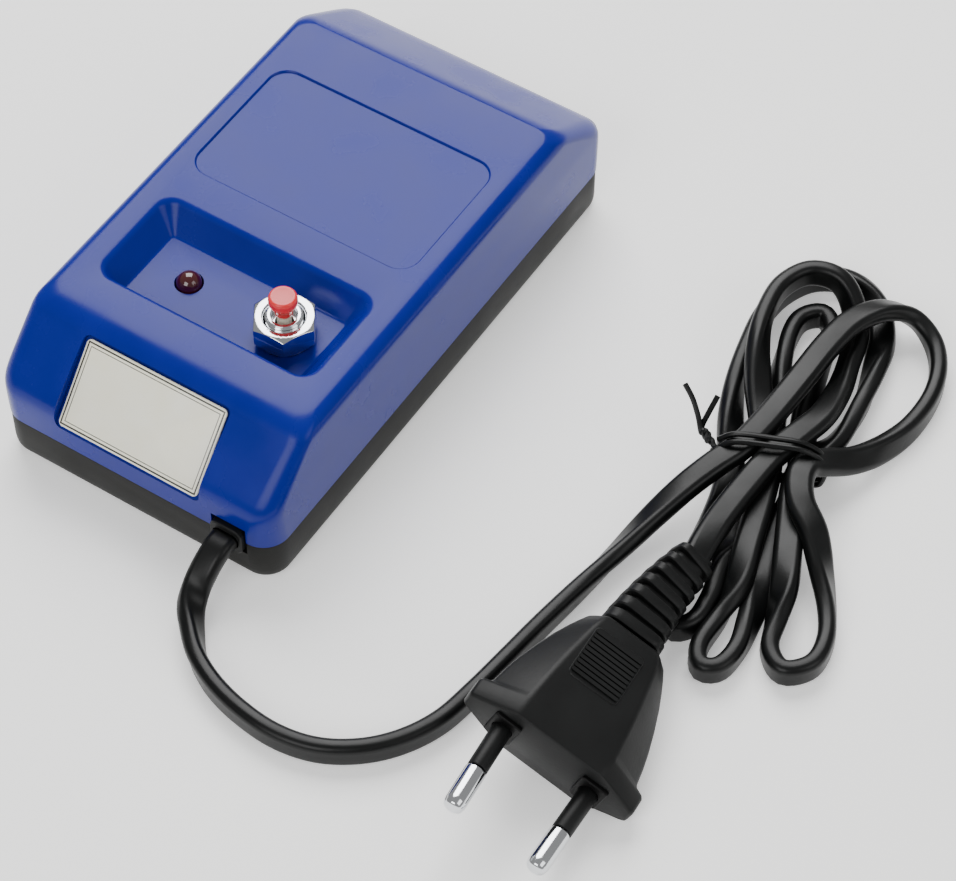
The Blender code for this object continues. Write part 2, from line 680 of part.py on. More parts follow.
def make_top_shell():
    inside_top = TOP_Z - ROOF
    hollow_rings = [case_ring(SPLIT_Z, TOP_WALL, SPLIT_Z - 3 * MM)]
    hollow_rings += [case_ring(z, TOP_WALL) for z in case_levels(inside_top)[1:]]
    hollow = loft("top_hollow", hollow_rings)
    well = loft(
        "pocket_well",
        [pocket_ring(z, POCKET_WALL) for z in (PANEL_UNDER_Z, TOP_Z + 2 * MM)],
    )
    cut(hollow, well)
    for label, x, y in case_screw_places():
        cut(hollow, cylinder(f"column_{label}", x, y, SPLIT_Z + GAP, TOP_Z, COLUMN_RADIUS))
    collar_low = PANEL_UNDER_Z - LED_SHANK + POCKET_WALL + GAP
    cut(
        hollow,
        cylinder("led_collar", LAMP_X, LAMP_Y, collar_low, POCKET_FLOOR_Z, LED_COLLAR_RADIUS),
    )
    half_up = PLATE_HEIGHT / 2 + FACET_MARGIN + TOP_WALL
    half_across = PLATE_WIDTH / 2 + FACET_MARGIN + TOP_WALL
    cut(hollow, facet_box("facet_backing", half_up, half_across, -TOP_WALL, 12 * MM))

    shell = loft("top_shell", [case_ring(z) for z in case_levels(TOP_Z)], BLUE_ABS)
    cut(shell, hollow)
    cut(
        shell,
        loft("pocket_cavity", [pocket_ring(z) for z in (POCKET_FLOOR_Z, TOP_Z + 2 * MM)]),
    )
    pad_low, pad_high = PAD_CENTRE_Y - PAD_LENGTH / 2, PAD_CENTRE_Y + PAD_LENGTH / 2
    pad = [
        ring(-PAD_HALF_WIDTH, PAD_HALF_WIDTH, pad_low, pad_high, PAD_CORNER, z, 4)
        for z in (TOP_Z - PAD_DEPTH, TOP_Z + 2 * MM)
    ]
    cut(shell, loft("pad_recess", pad))
    half_up = PLATE_HEIGHT / 2 + FACET_MARGIN
    half_across = PLATE_WIDTH / 2 + FACET_MARGIN
    cut(shell, facet_box("plate_facet", half_up, half_across, 0, 12 * MM))
    cut(
        shell,
        cylinder("led_hole", LAMP_X, LAMP_Y, collar_low - MM, TOP_Z, LED_RADIUS + GAP),
    )
    cut(
        shell,
        cylinder("bush_hole", BUTTON_X, CONTROL_Y, PANEL_UNDER_Z - MM, TOP_Z, BUSH_RADIUS + GAP),
    )
    screw_top = FOOT_DROP + BASE_FLOOR + SCREW_HEAD_HEIGHT + CASE_SCREW_LENGTH
    for label, x, y in case_screw_places():
        pilot = cylinder(
            f"pilot_{label}", x, y, SPLIT_Z - MM, screw_top + MM, SCREW_RADIUS + GAP, sides=12
        )
        cut(shell, pilot)
    cut_grommet_opening(shell, "top")
    return shell


def make_base_shell():
    seat = SPLIT_Z - GAP
    rings = [
        case_ring(SPLIT_Z, 0.9 * MM, FOOT_DROP),
        case_ring(SPLIT_Z, 0.45 * MM, FOOT_DROP + 0.4 * MM),
        case_ring(SPLIT_Z, 0.2 * MM, FOOT_DROP + 1.2 * MM),
        case_ring(SPLIT_Z, 0.15 * MM, seat),
        case_ring(SPLIT_Z, LIP_INSET, seat),
        case_ring(SPLIT_Z, LIP_INSET, seat + LIP_HEIGHT),
    ]
    hollow = loft(
        "base_hollow",
        [
            case_ring(SPLIT_Z, TRAY_WALL, z)
            for z in (FLOOR_Z, seat + LIP_HEIGHT + MM)
        ],
    )
    for label, x, y in case_screw_places():
        cut(hollow, cylinder(f"boss_{label}", x, y, FOOT_DROP, SPLIT_Z - GAP, HEAD_BOSS_RADIUS))
    for side, x in (("left", -core_screw_x()), ("right", core_screw_x())):
        top = FRAME_FOOT_Z - GAP
        cut(hollow, cylinder(f"core_boss_{side}", x, PAD_CENTRE_Y, FOOT_DROP, top, BOSS_RADIUS))
    for label, y in clamp_screw_places():
        cut(hollow, cylinder(f"clamp_boss_{label}", CLAMP_X, y, FOOT_DROP, CLAMP_BOSS_Z, BOSS_RADIUS))

    shell = loft("base_shell", rings, BLACK_ABS)
    cut(shell, hollow)
    head_top = FLOOR_Z + SCREW_HEAD_HEIGHT
    for label, x, y in case_screw_places():
        cut(
            shell,
            cylinder(f"shank_{label}", x, y, 0, SPLIT_Z + MM, SCREW_RADIUS + GAP, sides=12),
        )
        cut(
            shell,
            cylinder(f"head_{label}", x, y, 0, head_top + GAP, SCREW_HEAD_RADIUS + GAP, sides=16),
        )
    for side, x in (("left", -core_screw_x()), ("right", core_screw_x())):
        low = FRAME_FOOT_Z - CORE_SCREW_LENGTH - MM
        hole = cylinder(
            f"core_pilot_{side}",
            x,
            PAD_CENTRE_Y,
            low,
            FRAME_FOOT_Z + MM,
            SMALL_SCREW_RADIUS + GAP,
            sides=12,
        )
        cut(shell, hole)
    for label, y in clamp_screw_places():
        low = CLAMP_BOSS_Z - CLAMP_SCREW_LENGTH
        hole = cylinder(
            f"clamp_pilot_{label}",
            CLAMP_X,
            y,
            low,
            CLAMP_BOSS_Z + MM,
            SMALL_SCREW_RADIUS + GAP,
            sides=12,
        )
        cut(shell, hole)
    for label, x, y in foot_places():
        seat_hole = cylinder(
            f"foot_seat_{label}", x, y, 0, FOOT_DROP + FOOT_SEAT, FOOT_RADIUS + GAP, sides=20
        )
        cut(shell, seat_hole)
    cut_grommet_opening(shell, "base")
    return shell


def foot_places():
    for label, way_y in (("front", -1), ("back", 1)):
        for side, way_x in (("left", -1), ("right", 1)):
            x = way_x * (HALF_WIDTH - FOOT_INSET_X)
            y = way_y * (HALF_LENGTH - FOOT_INSET_Y) + (7.5 * MM if way_y < 0 else 0)
            yield f"{label}_{side}", x, y


def make_feet():
    for label, x, y in foot_places():
        top = FOOT_DROP + FOOT_SEAT - GAP
        profile = [
            (0, top),
            (FOOT_RADIUS, top),
            (FOOT_RADIUS, 0.6 * MM),
            (FOOT_RADIUS - 0.6 * MM, 0),
            (0, 0),
        ]
        turned(f"foot_{label}", profile, x, y, RUBBER, steps=20)


def make_case_screws():
    for label, x, y in case_screw_places():
        screw_piece(
            f"case_screw_{label}",
            x,
            y,
            FLOOR_Z + SCREW_HEAD_HEIGHT,
            CASE_SCREW_LENGTH,
            SCREW_RADIUS,
            SCREW_HEAD_RADIUS,
            True,
        )


def make_rating_plate():
    plate = facet_box(
        "rating_plate", PLATE_HEIGHT / 2, PLATE_WIDTH / 2, GAP, GAP + PLATE_THICKNESS, CREAM_FOIL
    )
    bevel = plate.modifiers.new("corners", "BEVEL")
    bevel.width = 0.15 * MM
    bevel.segments = 1
    return plate


# ---- Lamp


def make_lamp():
    dome_z = POCKET_FLOOR_Z - LED_SINK
    shank_z = dome_z - LED_SHANK
    arc = [math.radians(angle) for angle in (90, 72, 54, 36, 18, 0)]
    profile = [(LED_RADIUS * math.cos(a), dome_z + LED_RADIUS * math.sin(a)) for a in arc]
    profile[0] = (0, profile[0][1])
    profile += [
        (LED_RADIUS, shank_z),
        (LED_FLANGE_RADIUS, shank_z),
        (LED_FLANGE_RADIUS, shank_z - LED_FLANGE_HEIGHT),
        (0, shank_z - LED_FLANGE_HEIGHT),
    ]
    turned("lamp_lens", profile, LAMP_X, LAMP_Y, RED_EPOXY)
    lead_top = shank_z - LED_FLANGE_HEIGHT - GAP
    part_top = lead_top - 5 * MM
    for label, way in (("cathode", -1), ("anode", 1)):
        near, far = LAMP_X + way * 1.27 * MM, LAMP_X + way * 3.0 * MM
        route = [
            (near, LAMP_Y, lead_top),
            (near, LAMP_Y, lead_top - 1.5 * MM),
            (far, LAMP_Y, lead_top - 4 * MM),
            (far, LAMP_Y, part_top + GAP),
        ]
        tube(f"lamp_lead_{label}", route, LEAD_RADIUS, ZINC_STEEL, sides=1)
    axial_part("lamp_diode", LAMP_X - 3.0 * MM, part_top, DIODE_RADIUS, BLACK_PVC)
    axial_part("lamp_resistor", LAMP_X + 3.0 * MM, part_top, RESISTOR_RADIUS, RESISTOR_CERAMIC)


def axial_part(name, x, top, radius, finish):
    """A small upright component with a wire out of each end."""
    body_top, body_bottom = top - 1.2 * MM, top - 7.2 * MM
    profile = [
        (0, top),
        (LEAD_RADIUS, top),
        (LEAD_RADIUS, body_top),
        (radius * 0.8, body_top),
        (radius, body_top - 0.6 * MM),
        (radius, body_bottom + 0.6 * MM),
        (radius * 0.8, body_bottom),
        (LEAD_RADIUS, body_bottom),
        (LEAD_RADIUS, body_bottom - 1.2 * MM),
        (0, body_bottom - 1.2 * MM),
    ]
    turned(name, profile, x, LAMP_Y, finish, steps=10)


def axial_bottom_z():
    return POCKET_FLOOR_Z - LED_SINK - LED_SHANK - LED_FLANGE_HEIGHT - GAP - 13.4 * MM


# ---- Push button switch


def make_switch():
    x, y = BUTTON_X, CONTROL_Y
    body = cylinder("switch_body", x, y, SWITCH_BOTTOM_Z, SWITCH_TOP_Z, SWITCH_RADIUS, BLACK_ABS)
    cut(body, cylinder("spring_chamber", x, y, SHELF_TOP_Z, SWITCH_TOP_Z + MM, SWITCH_BORE))
    floor = SWITCH_BOTTOM_Z + SWITCH_FLOOR
    cut(body, cylinder("contact_chamber", x, y, floor, SHELF_BOTTOM_Z, SWITCH_BORE))
    cut(
        body,
        cylinder(
            "rod_hole", x, y, floor + MM, SHELF_TOP_Z + MM, PLUNGER_ROD_RADIUS + GAP, sides=12
        ),
    )
    half_width, half_thickness = TERMINAL_WIDTH / 2, TERMINAL_THICKNESS / 2
    for label, offset in (("live", -TERMINAL_OFFSET), ("load", TERMINAL_OFFSET)):
        low = Vector((x + offset - half_thickness, y - half_width, TERMINAL_BOTTOM_Z))
        high = Vector((x + offset + half_thickness, y + half_width, TERMINAL_TOP_Z))
        box(f"switch_terminal_{label}", low, high, BRASS)
        room = Vector((GAP, GAP, 0))
        slot = box(
            f"slot_{label}",
            (*(low - room).xy, SWITCH_BOTTOM_Z - MM),
            (*(high + room).xy, floor + MM),
        )
        cut(body, slot)

    bore = PLUNGER_RADIUS + GAP
    mouth = BUSH_TOP_Z - BUSH_MOUTH_DEPTH
    profile = [
        (BUSH_MOUTH_RADIUS, BUSH_TOP_Z),
        (BUSH_RADIUS - 0.5 * MM, BUSH_TOP_Z),
        (BUSH_RADIUS, BUSH_TOP_Z - 0.5 * MM),
        (BUSH_RADIUS, BUSH_FLANGE_TOP_Z),
        (BUSH_FLANGE_RADIUS, BUSH_FLANGE_TOP_Z),
        (BUSH_FLANGE_RADIUS, BUSH_FLANGE_TOP_Z - BUSH_FLANGE_HEIGHT),
        (bore, BUSH_FLANGE_TOP_Z - BUSH_FLANGE_HEIGHT),
        (bore, mouth),
        (BUSH_MOUTH_RADIUS, mouth),
    ]
    turned("switch_bush", profile, x, y, CHROME, steps=24)

    washer_z = POCKET_FLOOR_Z + GAP
    inner = BUSH_RADIUS + GAP
    washer = [
        (inner, washer_z + WASHER_THICKNESS),
        (WASHER_RADIUS, washer_z + WASHER_THICKNESS),
        (WASHER_RADIUS, washer_z),
        (inner, washer_z),
    ]
    turned("switch_washer", washer, x, y, ZINC_STEEL, steps=24)
    nut_z = washer_z + WASHER_THICKNESS + GAP
    nut = cylinder(
        "switch_nut",
        0,
        0,
        nut_z,
        nut_z + NUT_HEIGHT,
        NUT_ACROSS_FLATS / math.sqrt(3),
        CHROME,
        sides=6,
    )
    nut.location = (x, y, 0)
    nut.rotation_euler = (0, 0, math.radians(3))
    thread = cylinder("nut_thread", x, y, nut_z - MM, nut_z + NUT_HEIGHT + MM, inner, sides=24)
    cut(nut, thread)

    cap_top = CAP_BOTTOM_Z + CAP_HEIGHT
    cap = [
        (0, cap_top),
        (CAP_RADIUS - 0.7 * MM, cap_top),
        (CAP_RADIUS - 0.15 * MM, cap_top - 0.3 * MM),
        (CAP_RADIUS, cap_top - 0.8 * MM),
        (CAP_RADIUS, cap_top - CAP_RIM_HEIGHT),
        (CAP_NECK_RADIUS + 0.3 * MM, CAP_BOTTOM_Z + BUTTON_TRAVEL),
        (CAP_NECK_RADIUS, CAP_BOTTOM_Z),
        (0, CAP_BOTTOM_Z),
    ]
    turned("button_cap", cap, x, y, RED_ABS, steps=24)
    plunger = [
        (0, PLUNGER_TOP_Z),
        (PLUNGER_RADIUS, PLUNGER_TOP_Z),
        (PLUNGER_RADIUS, COLLAR_TOP_Z),
        (PLUNGER_COLLAR_RADIUS, COLLAR_TOP_Z),
        (PLUNGER_COLLAR_RADIUS, COLLAR_BOTTOM_Z),
        (PLUNGER_ROD_RADIUS, COLLAR_BOTTOM_Z),
        (PLUNGER_ROD_RADIUS, CONTACT_TOP_Z + GAP),
        (0, CONTACT_TOP_Z + GAP),
    ]
    turned("button_plunger", plunger, x, y, BOBBIN_NYLON, steps=16)
    contact = [
        (0, CONTACT_TOP_Z),
        (PLUNGER_COLLAR_RADIUS + 0.3 * MM, CONTACT_TOP_Z),
        (PLUNGER_COLLAR_RADIUS + 0.3 * MM, CONTACT_BOTTOM_Z),
        (0, CONTACT_BOTTOM_Z),
    ]
    turned("moving_contact", contact, x, y, BRASS, steps=16)
    make_spring(x, y)


def make_spring(x, y):
    low = SHELF_TOP_Z + GAP + SPRING_WIRE_RADIUS
    rise = SPRING_LENGTH - 2 * SPRING_WIRE_RADIUS
    count = SPRING_TURNS * 14
    route = []
    for i in range(count + 1):
        angle = 2 * math.pi * SPRING_TURNS * i / count
        place = (SPRING_RADIUS * math.cos(angle), SPRING_RADIUS * math.sin(angle))
        route.append((x + place[0], y + place[1], low + rise * i / count))
    tube("return_spring", route, SPRING_WIRE_RADIUS, ZINC_STEEL, sides=1)


# ---- Electromagnet


def core_screw_x():
    return CORE_HALF_WIDTH + GAP + FRAME_SHEET + GAP + BOSS_RADIUS + 0.4 * MM


def bobbin_half(depth):
    """Half width and half length of the bobbin, a given depth out from its tube."""
    tube_half = GAP + BOBBIN_WALL + depth
    return CORE_HALF_LEG + tube_half, CORE_STACK / 2 + tube_half


def band(name, depth_in, depth_out, low, high, finish):
    """A flat ring round the bobbin's tube, between two depths."""
    loops = []
    for depth, corner in ((depth_out, 2.0 * MM), (depth_in, 0.8 * MM)):
        half_x, half_y = bobbin_half(depth)
        outline = ring(-half_x, half_x, -half_y, half_y, corner, 0, 3)
        loops.append([(point.x, point.y + PAD_CENTRE_Y) for point in outline])
    obj = flat_outline(name, loops, high - low, finish)
    obj.location.z = (low + high) / 2
    return obj


def make_electromagnet():
    side = CORE_HALF_WIDTH - CORE_SIDE_LEG
    right_half = [
        (CORE_HALF_WIDTH, CORE_BOTTOM_Z),
        (CORE_HALF_WIDTH, CORE_TOP_Z),
        (side, CORE_TOP_Z),
        (side, CORE_BAR_TOP_Z),
        (CORE_HALF_LEG, CORE_BAR_TOP_Z),
        (CORE_HALF_LEG, CORE_TOP_Z),
    ]
    outline = right_half + [(-x, z) for x, z in reversed(right_half)]
    core = flat_outline("core_laminations", [outline], CORE_STACK, CORE_STEEL, upright=True)
    core.location.y = PAD_CENTRE_Y

    low, high = CORE_BAR_TOP_Z + GAP, CORE_TOP_Z - GAP
    tube_x, tube_y = bobbin_half(0)
    hole_x, hole_y = tube_x - BOBBIN_WALL, tube_y - BOBBIN_WALL
    flange_x, flange_y = bobbin_half(FLANGE_DEPTH)
    y = PAD_CENTRE_Y
    bobbin = box("coil_bobbin", (-tube_x, y - tube_y, low), (tube_x, y + tube_y, high), BOBBIN_NYLON)
    for label, z in (("low", low), ("high", high - BOBBIN_WALL)):
        flange = box(
            f"flange_{label}",
            (-flange_x, y - flange_y, z),
            (flange_x, y + flange_y, z + BOBBIN_WALL),
        )
        cut(bobbin, flange, "UNION")
    cut(
        bobbin,
        box("bobbin_hole", (-hole_x, y - hole_y, low - MM), (hole_x, y + hole_y, high + MM)),
    )
    inside_low, inside_high = low + BOBBIN_WALL + GAP, high - BOBBIN_WALL - GAP
    wrap_in = WINDING_DEPTH + GAP
    band("coil_winding", GAP, WINDING_DEPTH, inside_low, inside_high, COPPER)
    band("coil_wrap", wrap_in, wrap_in + WRAP_THICKNESS, inside_low, inside_high, YELLOW_TAPE)
    for label, way in (("neutral", -1), ("load", 1)):
        front = y - flange_y - GAP
        box(
            f"coil_tag_{label}",
            (way * TAG_X - TAG_WIDTH / 2, front - TAG_THICKNESS, low),
            (way * TAG_X + TAG_WIDTH / 2, front, low + TAG_HEIGHT),
            BRASS,
        )

    inner = CORE_HALF_WIDTH + GAP
    outer = inner + FRAME_SHEET
    foot_end = HALF_WIDTH - TRAY_WALL - GAP
    under = CORE_BOTTOM_Z - GAP
    right = [
        (outer, under - FRAME_SHEET),
        (outer, FRAME_FOOT_Z),
        (foot_end, FRAME_FOOT_Z),
        (foot_end, FRAME_FOOT_Z + FRAME_SHEET),
        (inner, FRAME_FOOT_Z + FRAME_SHEET),
        (inner, under),
    ]
    outline = right + [(-x, z) for x, z in reversed(right)]
    frame = flat_outline("core_frame", [outline], FRAME_WIDTH, ZINC_STEEL, upright=True)
    frame.location.y = PAD_CENTRE_Y
    frame = as_mesh(frame)
    for label, x in (("left", -core_screw_x()), ("right", core_screw_x())):
        hole = cylinder(
            f"frame_hole_{label}",
            x,
            PAD_CENTRE_Y,
            FRAME_FOOT_Z - MM,
            FRAME_FOOT_Z + FRAME_SHEET + MM,
            SMALL_SCREW_RADIUS + GAP,
            sides=12,
        )
        cut(frame, hole)
        screw_piece(
            f"core_screw_{label}",
            x,
            PAD_CENTRE_Y,
            FRAME_FOOT_Z + FRAME_SHEET + GAP,
            CORE_SCREW_LENGTH,
            SMALL_SCREW_RADIUS,
            SMALL_SCREW_HEAD_RADIUS,
            False,
        )


# ---- Lead, its clamp and the wires inside


def clamp_screw_places():
    yield "front", CLAMP_Y - CLAMP_SPACING / 2
    yield "back", CLAMP_Y + CLAMP_SPACING / 2


def make_grommet():
    face = -HALF_LENGTH - GROMMET_PROUD
    flange_back = FLANGE_Y + GROMMET_FLANGE
    half_x, half_z = GROMMET_HALF_WIDTH, GROMMET_HALF_HEIGHT
    grommet = box(
        "cord_grommet",
        (CORD_EXIT_X - half_x, face, CORD_EXIT_Z - half_z),
        (CORD_EXIT_X + half_x, flange_back - GAP / 2, CORD_EXIT_Z + half_z),
        BLACK_PVC,
    )
    half_x += FLANGE_RISE
    half_z += FLANGE_RISE
    flange = box(
        "grommet_flange",
        (CORD_EXIT_X - half_x, FLANGE_Y, CORD_EXIT_Z - half_z),
        (CORD_EXIT_X + half_x, flange_back, CORD_EXIT_Z + half_z),
    )
    cut(grommet, flange, "UNION")
    return flange_back + GAP


def make_inner_lead(start_y):
    cord_z = CLAMP_BOSS_Z - CORD_RADIUS
    end = CLAMP_X - 5.4 * MM
    route = [
        (CORD_EXIT_X, start_y, CORD_EXIT_Z),
        (CORD_EXIT_X, start_y + 1.6 * MM, CORD_EXIT_Z),
        (CORD_EXIT_X - 1.4 * MM, start_y + 4.4 * MM, CORD_EXIT_Z - 0.3 * MM),
        (CORD_EXIT_X - 4.6 * MM, CLAMP_Y - 0.4 * MM, cord_z + 1.0 * MM),
        (CLAMP_X + 4.0 * MM, CLAMP_Y, cord_z),
        (end, CLAMP_Y, cord_z),
    ]
    route = route[:1] + smooth_route(route[1:], 4 * MM)
    tube("cord_inner_end", route, CORD_RADIUS, BLACK_PVC)
    bar_z = CLAMP_BOSS_Z + GAP
    half = CLAMP_SPACING / 2 + 2.1 * MM
    bar = box(
        "cord_clamp_bar",
        (CLAMP_X - CLAMP_BAR_WIDTH / 2, CLAMP_Y - half, bar_z),
        (CLAMP_X + CLAMP_BAR_WIDTH / 2, CLAMP_Y + half, bar_z + CLAMP_BAR_THICKNESS),
        BLACK_ABS,
    )
    for label, y in clamp_screw_places():
        hole = cylinder(
            f"bar_hole_{label}",
            CLAMP_X,
            y,
            bar_z - MM,
            bar_z + CLAMP_BAR_THICKNESS + MM,
            SMALL_SCREW_RADIUS + GAP,
            sides=12,
        )
        cut(bar, hole)
        screw_piece(
            f"clamp_screw_{label}",
            CLAMP_X,
            y,
            bar_z + CLAMP_BAR_THICKNESS + GAP,
            CLAMP_SCREW_LENGTH,
            SMALL_SCREW_RADIUS,
            SMALL_SCREW_HEAD_RADIUS,
            False,
        )
    return end - GAP, cord_z


def make_wires(split_x, split_z):
    """The mains wires run from the lead's end to the switch and the coil, the lamp's across them."""
    live_y = CONTROL_Y - TERMINAL_WIDTH / 2 - WIRE_RADIUS / 2
    load_y = CONTROL_Y + TERMINAL_WIDTH / 2 + GAP
    tail_z = (SWITCH_BOTTOM_Z + TERMINAL_BOTTOM_Z) / 2 + 0.3 * MM
    tag_y = PAD_CENTRE_Y - bobbin_half(FLANGE_DEPTH)[1]
    tag_y -= 2 * GAP + TAG_THICKNESS
    tag_z = CORE_BAR_TOP_Z + GAP + TAG_HEIGHT / 2
    core_gap = WIRE_RADIUS + GAP / 2
    clear_x = (LAMP_X + 3 * MM + RESISTOR_RADIUS + BUTTON_X - SWITCH_RADIUS) / 2
    live_x, load_x = BUTTON_X - TERMINAL_OFFSET, BUTTON_X + TERMINAL_OFFSET
    live = [
        (split_x, CLAMP_Y + core_gap, split_z),
        (split_x - 2.6 * MM, CLAMP_Y + core_gap, split_z),
        (split_x - 3.6 * MM, CLAMP_Y + 4 * MM, split_z - MM),
        (split_x - MM, CLAMP_Y + 9 * MM, split_z - 2 * MM),
        (live_x - 2 * MM, live_y - 8 * MM, tail_z - MM),
        (live_x, live_y - 2 * MM, tail_z),
        (live_x, live_y, tail_z),
    ]
    neutral = [
        (split_x, CLAMP_Y - core_gap, split_z),
        (split_x - 4 * MM, CLAMP_Y - core_gap, split_z),
        (clear_x - 6.5 * MM, CLAMP_Y + 6 * MM, 6.5 * MM),
        (clear_x, CONTROL_Y - 4 * MM, 6.4 * MM),
        (clear_x, CONTROL_Y + 6 * MM, 6.6 * MM),
        (-TAG_X, tag_y - 3 * MM, tag_z + MM),
        (-TAG_X, tag_y, tag_z + MM),
    ]
    load = [
        (load_x, load_y, tail_z),
        (load_x, load_y + 3 * MM, tail_z),
        (load_x - 3 * MM, load_y + 12 * MM, 9.5 * MM),
        (TAG_X, tag_y - 3 * MM, tag_z),
        (TAG_X, tag_y, tag_z),
    ]
    tube("wire_live", live, WIRE_RADIUS, BROWN_PVC, step=3.5 * MM)
    tube("wire_neutral", neutral, WIRE_RADIUS, BLUE_PVC, step=3.5 * MM)
    tube("wire_coil_feed", load, WIRE_RADIUS, BROWN_PVC, step=3.5 * MM)

    low_z = axial_bottom_z() - GAP
    run_z = FLOOR_Z + LAMP_WIRE_RADIUS + 2 * GAP
    resistor_x, diode_x = LAMP_X + 3 * MM, LAMP_X - 3 * MM
    lamp_feed = [
        (resistor_x, LAMP_Y, low_z),
        (resistor_x + 0.4 * MM, LAMP_Y + 0.8 * MM, run_z + 0.6 * MM),
        (resistor_x + 4 * MM, CONTROL_Y + 4.4 * MM, run_z),
        (BUTTON_X - 4 * MM, CONTROL_Y + 5.0 * MM, run_z),
        (load_x - MM, CONTROL_Y + 2.4 * MM, run_z),
        (load_x - 0.1 * MM, CONTROL_Y + 0.3 * MM, run_z + 0.5 * MM),
        (load_x, CONTROL_Y, TERMINAL_BOTTOM_Z - 1.5 * GAP),
    ]
    lamp_return = [
        (diode_x, LAMP_Y, low_z),
        (diode_x, LAMP_Y + MM, run_z + 0.9 * MM),
        (diode_x - MM, LAMP_Y + 7 * MM, run_z + GAP),
        (-TAG_X - 3 * MM, tag_y - 6 * MM, tag_z - 4 * MM),
        (-TAG_X, tag_y - 2 * MM, tag_z - 1.6 * MM),
        (-TAG_X, tag_y, tag_z - 1.6 * MM),
    ]
    tube("wire_lamp_feed", lamp_feed, LAMP_WIRE_RADIUS, RED_PVC, step=2.2 * MM, sides=1)
    tube("wire_lamp_return", lamp_return, LAMP_WIRE_RADIUS, BLUE_PVC, step=2.6 * MM, sides=1)


def make_free_cord():
    straight_end = CORD_EXIT - Vector((0, CORD_STRAIGHT, 0))
    lead = [CORD_EXIT] + smooth_route([straight_end] + from_exit(LEAD_POINTS), ROUTE_STEP)
    tube("cord_lead", lead, CORD_RADIUS, BLACK_PVC)
    tube("cord_tail", from_exit(TAIL_POINTS), CORD_RADIUS, BLACK_PVC, step=2.6 * MM)
    outline = smooth_route(from_exit(HANK_OUTLINE), 6.0 * MM, closed=True)
    hank = flat_outline("cord_hank", [[point.xy for point in outline]], HANK_HEIGHT, BLACK_PVC)
    hank.location.z = HANK_BOTTOM_Z + HANK_HEIGHT / 2
    tube("twist_tie", from_exit(TIE_POINTS), TIE_RADIUS, BLACK_PVC, step=2.4 * MM, sides=1)


# ---- Plug


def plug_section(distance, half_x, flat, half_z, edge, bend):
    """A flattened hexagon with small round corners: flat top and bottom, sloped flanks, upright edges."""
    quarter = [
        (half_x, edge * 0.6),
        (half_x - 0.35, edge),
        (flat + 0.7, half_z - 0.35),
        (flat - 0.5, half_z),
    ]
    outline = quarter + [(-x, z) for x, z in reversed(quarter)]
    outline += [(-x, -z) for x, z in quarter] + [(x, -z) for x, z in reversed(quarter)]
    return [Vector(((bend + x) * MM, distance * MM, z * MM)) for x, z in outline]


def plug_rings():
    """Sections from the front face to the lead: distance, half width, half of the flat, half height, edge."""
    sections = [
        (0.0, 17.2, 8.6, 6.2, 1.7),
        (0.5, 17.6, 9.0, 6.6, 2.0),
        (4.2, 17.6, 9.0, 6.7, 2.0),
        (5.0, 15.8, 8.9, 6.7, 1.8),
        (12.0, 14.2, 8.3, 6.8, 2.0),
        (20.0, 11.6, 7.2, 6.8, 2.4),
        (25.0, 9.2, 6.4, 6.5, 2.8),
        (27.0, 8.2, 5.8, 6.2, 3.0),
        (27.8, 6.4, 4.4, 5.0, 2.6),
    ]
    for groove in range(RELIEF_GROOVES):
        start = RELIEF_START + RELIEF_PITCH * groove
        wide = 6.2 - 0.42 * groove
        deep = wide - 1.0
        sections += [
            (start, deep, deep * 0.6, deep * 0.85, deep * 0.5),
            (start + 1.3, deep, deep * 0.6, deep * 0.85, deep * 0.5),
            (start + 1.6, wide, wide * 0.6, wide * 0.85, wide * 0.5),
            (start + RELIEF_PITCH - 0.3, wide - 0.2, wide * 0.6, wide * 0.83, wide * 0.5),
        ]
    rings = []
    for distance, half_x, flat, half_z, edge in sections:
        bend = max(0.0, distance - 30.0) ** 2 * RELIEF_BEND
        rings.append(plug_section(distance, half_x, flat, half_z, edge, bend))
    return rings


def make_plug():
    carrier = bpy.data.objects.new("plug_frame", None)
    parts.objects.link(carrier)
    carrier.location = (CORD_EXIT.x + PLUG_OFFSET.x, CORD_EXIT.y + PLUG_OFFSET.y, PLUG_OFFSET.z)
    turns = [(PLUG_YAW, "Z"), (-PLUG_NOSE_UP, "X"), (PLUG_ROLL, "Y")]
    matrices = [Matrix.Rotation(angle, 3, axis) for angle, axis in turns]
    carrier.rotation_euler = (matrices[0] @ matrices[1] @ matrices[2]).to_euler()
    body = loft("plug_body", plug_rings(), BLACK_PVC)
    body.parent = carrier
    bore = PIN_CORE_RADIUS + GAP
    for label, way in (("left", -1), ("right", 1)):
        turn = Matrix.Rotation(-way * PIN_TOE_IN, 4, "Z") @ Matrix.Rotation(math.pi / 2, 4, "X")
        place = Matrix.Translation((way * PIN_SPACING / 2, 0, 0)) @ turn
        tip, step = PIN_LENGTH, SLEEVE_LENGTH
        pin = [
            (0, tip),
            (PIN_RADIUS * 0.55, tip),
            (PIN_RADIUS * 0.9, tip - 0.5 * MM),
            (PIN_RADIUS, tip - 1.3 * MM),
            (PIN_RADIUS, step),
            (PIN_CORE_RADIUS, step),
            (PIN_CORE_RADIUS, -PIN_ROOT),
            (0, -PIN_ROOT),
        ]
        sleeve = [
            (bore, step - GAP),
            (SLEEVE_RADIUS, step - GAP),
            (SLEEVE_RADIUS, GAP),
            (bore, GAP),
        ]
        root = [(0, 2 * MM), (bore, 2 * MM), (bore, -PIN_ROOT - GAP), (0, -PIN_ROOT - GAP)]
        pieces = (
            turned(f"plug_pin_{label}", pin, 0, 0, ZINC_STEEL, steps=16),
            turned(f"pin_sleeve_{label}", sleeve, 0, 0, BLACK_PVC, steps=16),
            turned(f"pin_bore_{label}", root, 0, 0, None, steps=16),
        )
        for piece in pieces:
            piece.parent = carrier
            piece.matrix_local = place
        cut(body, pieces[2])


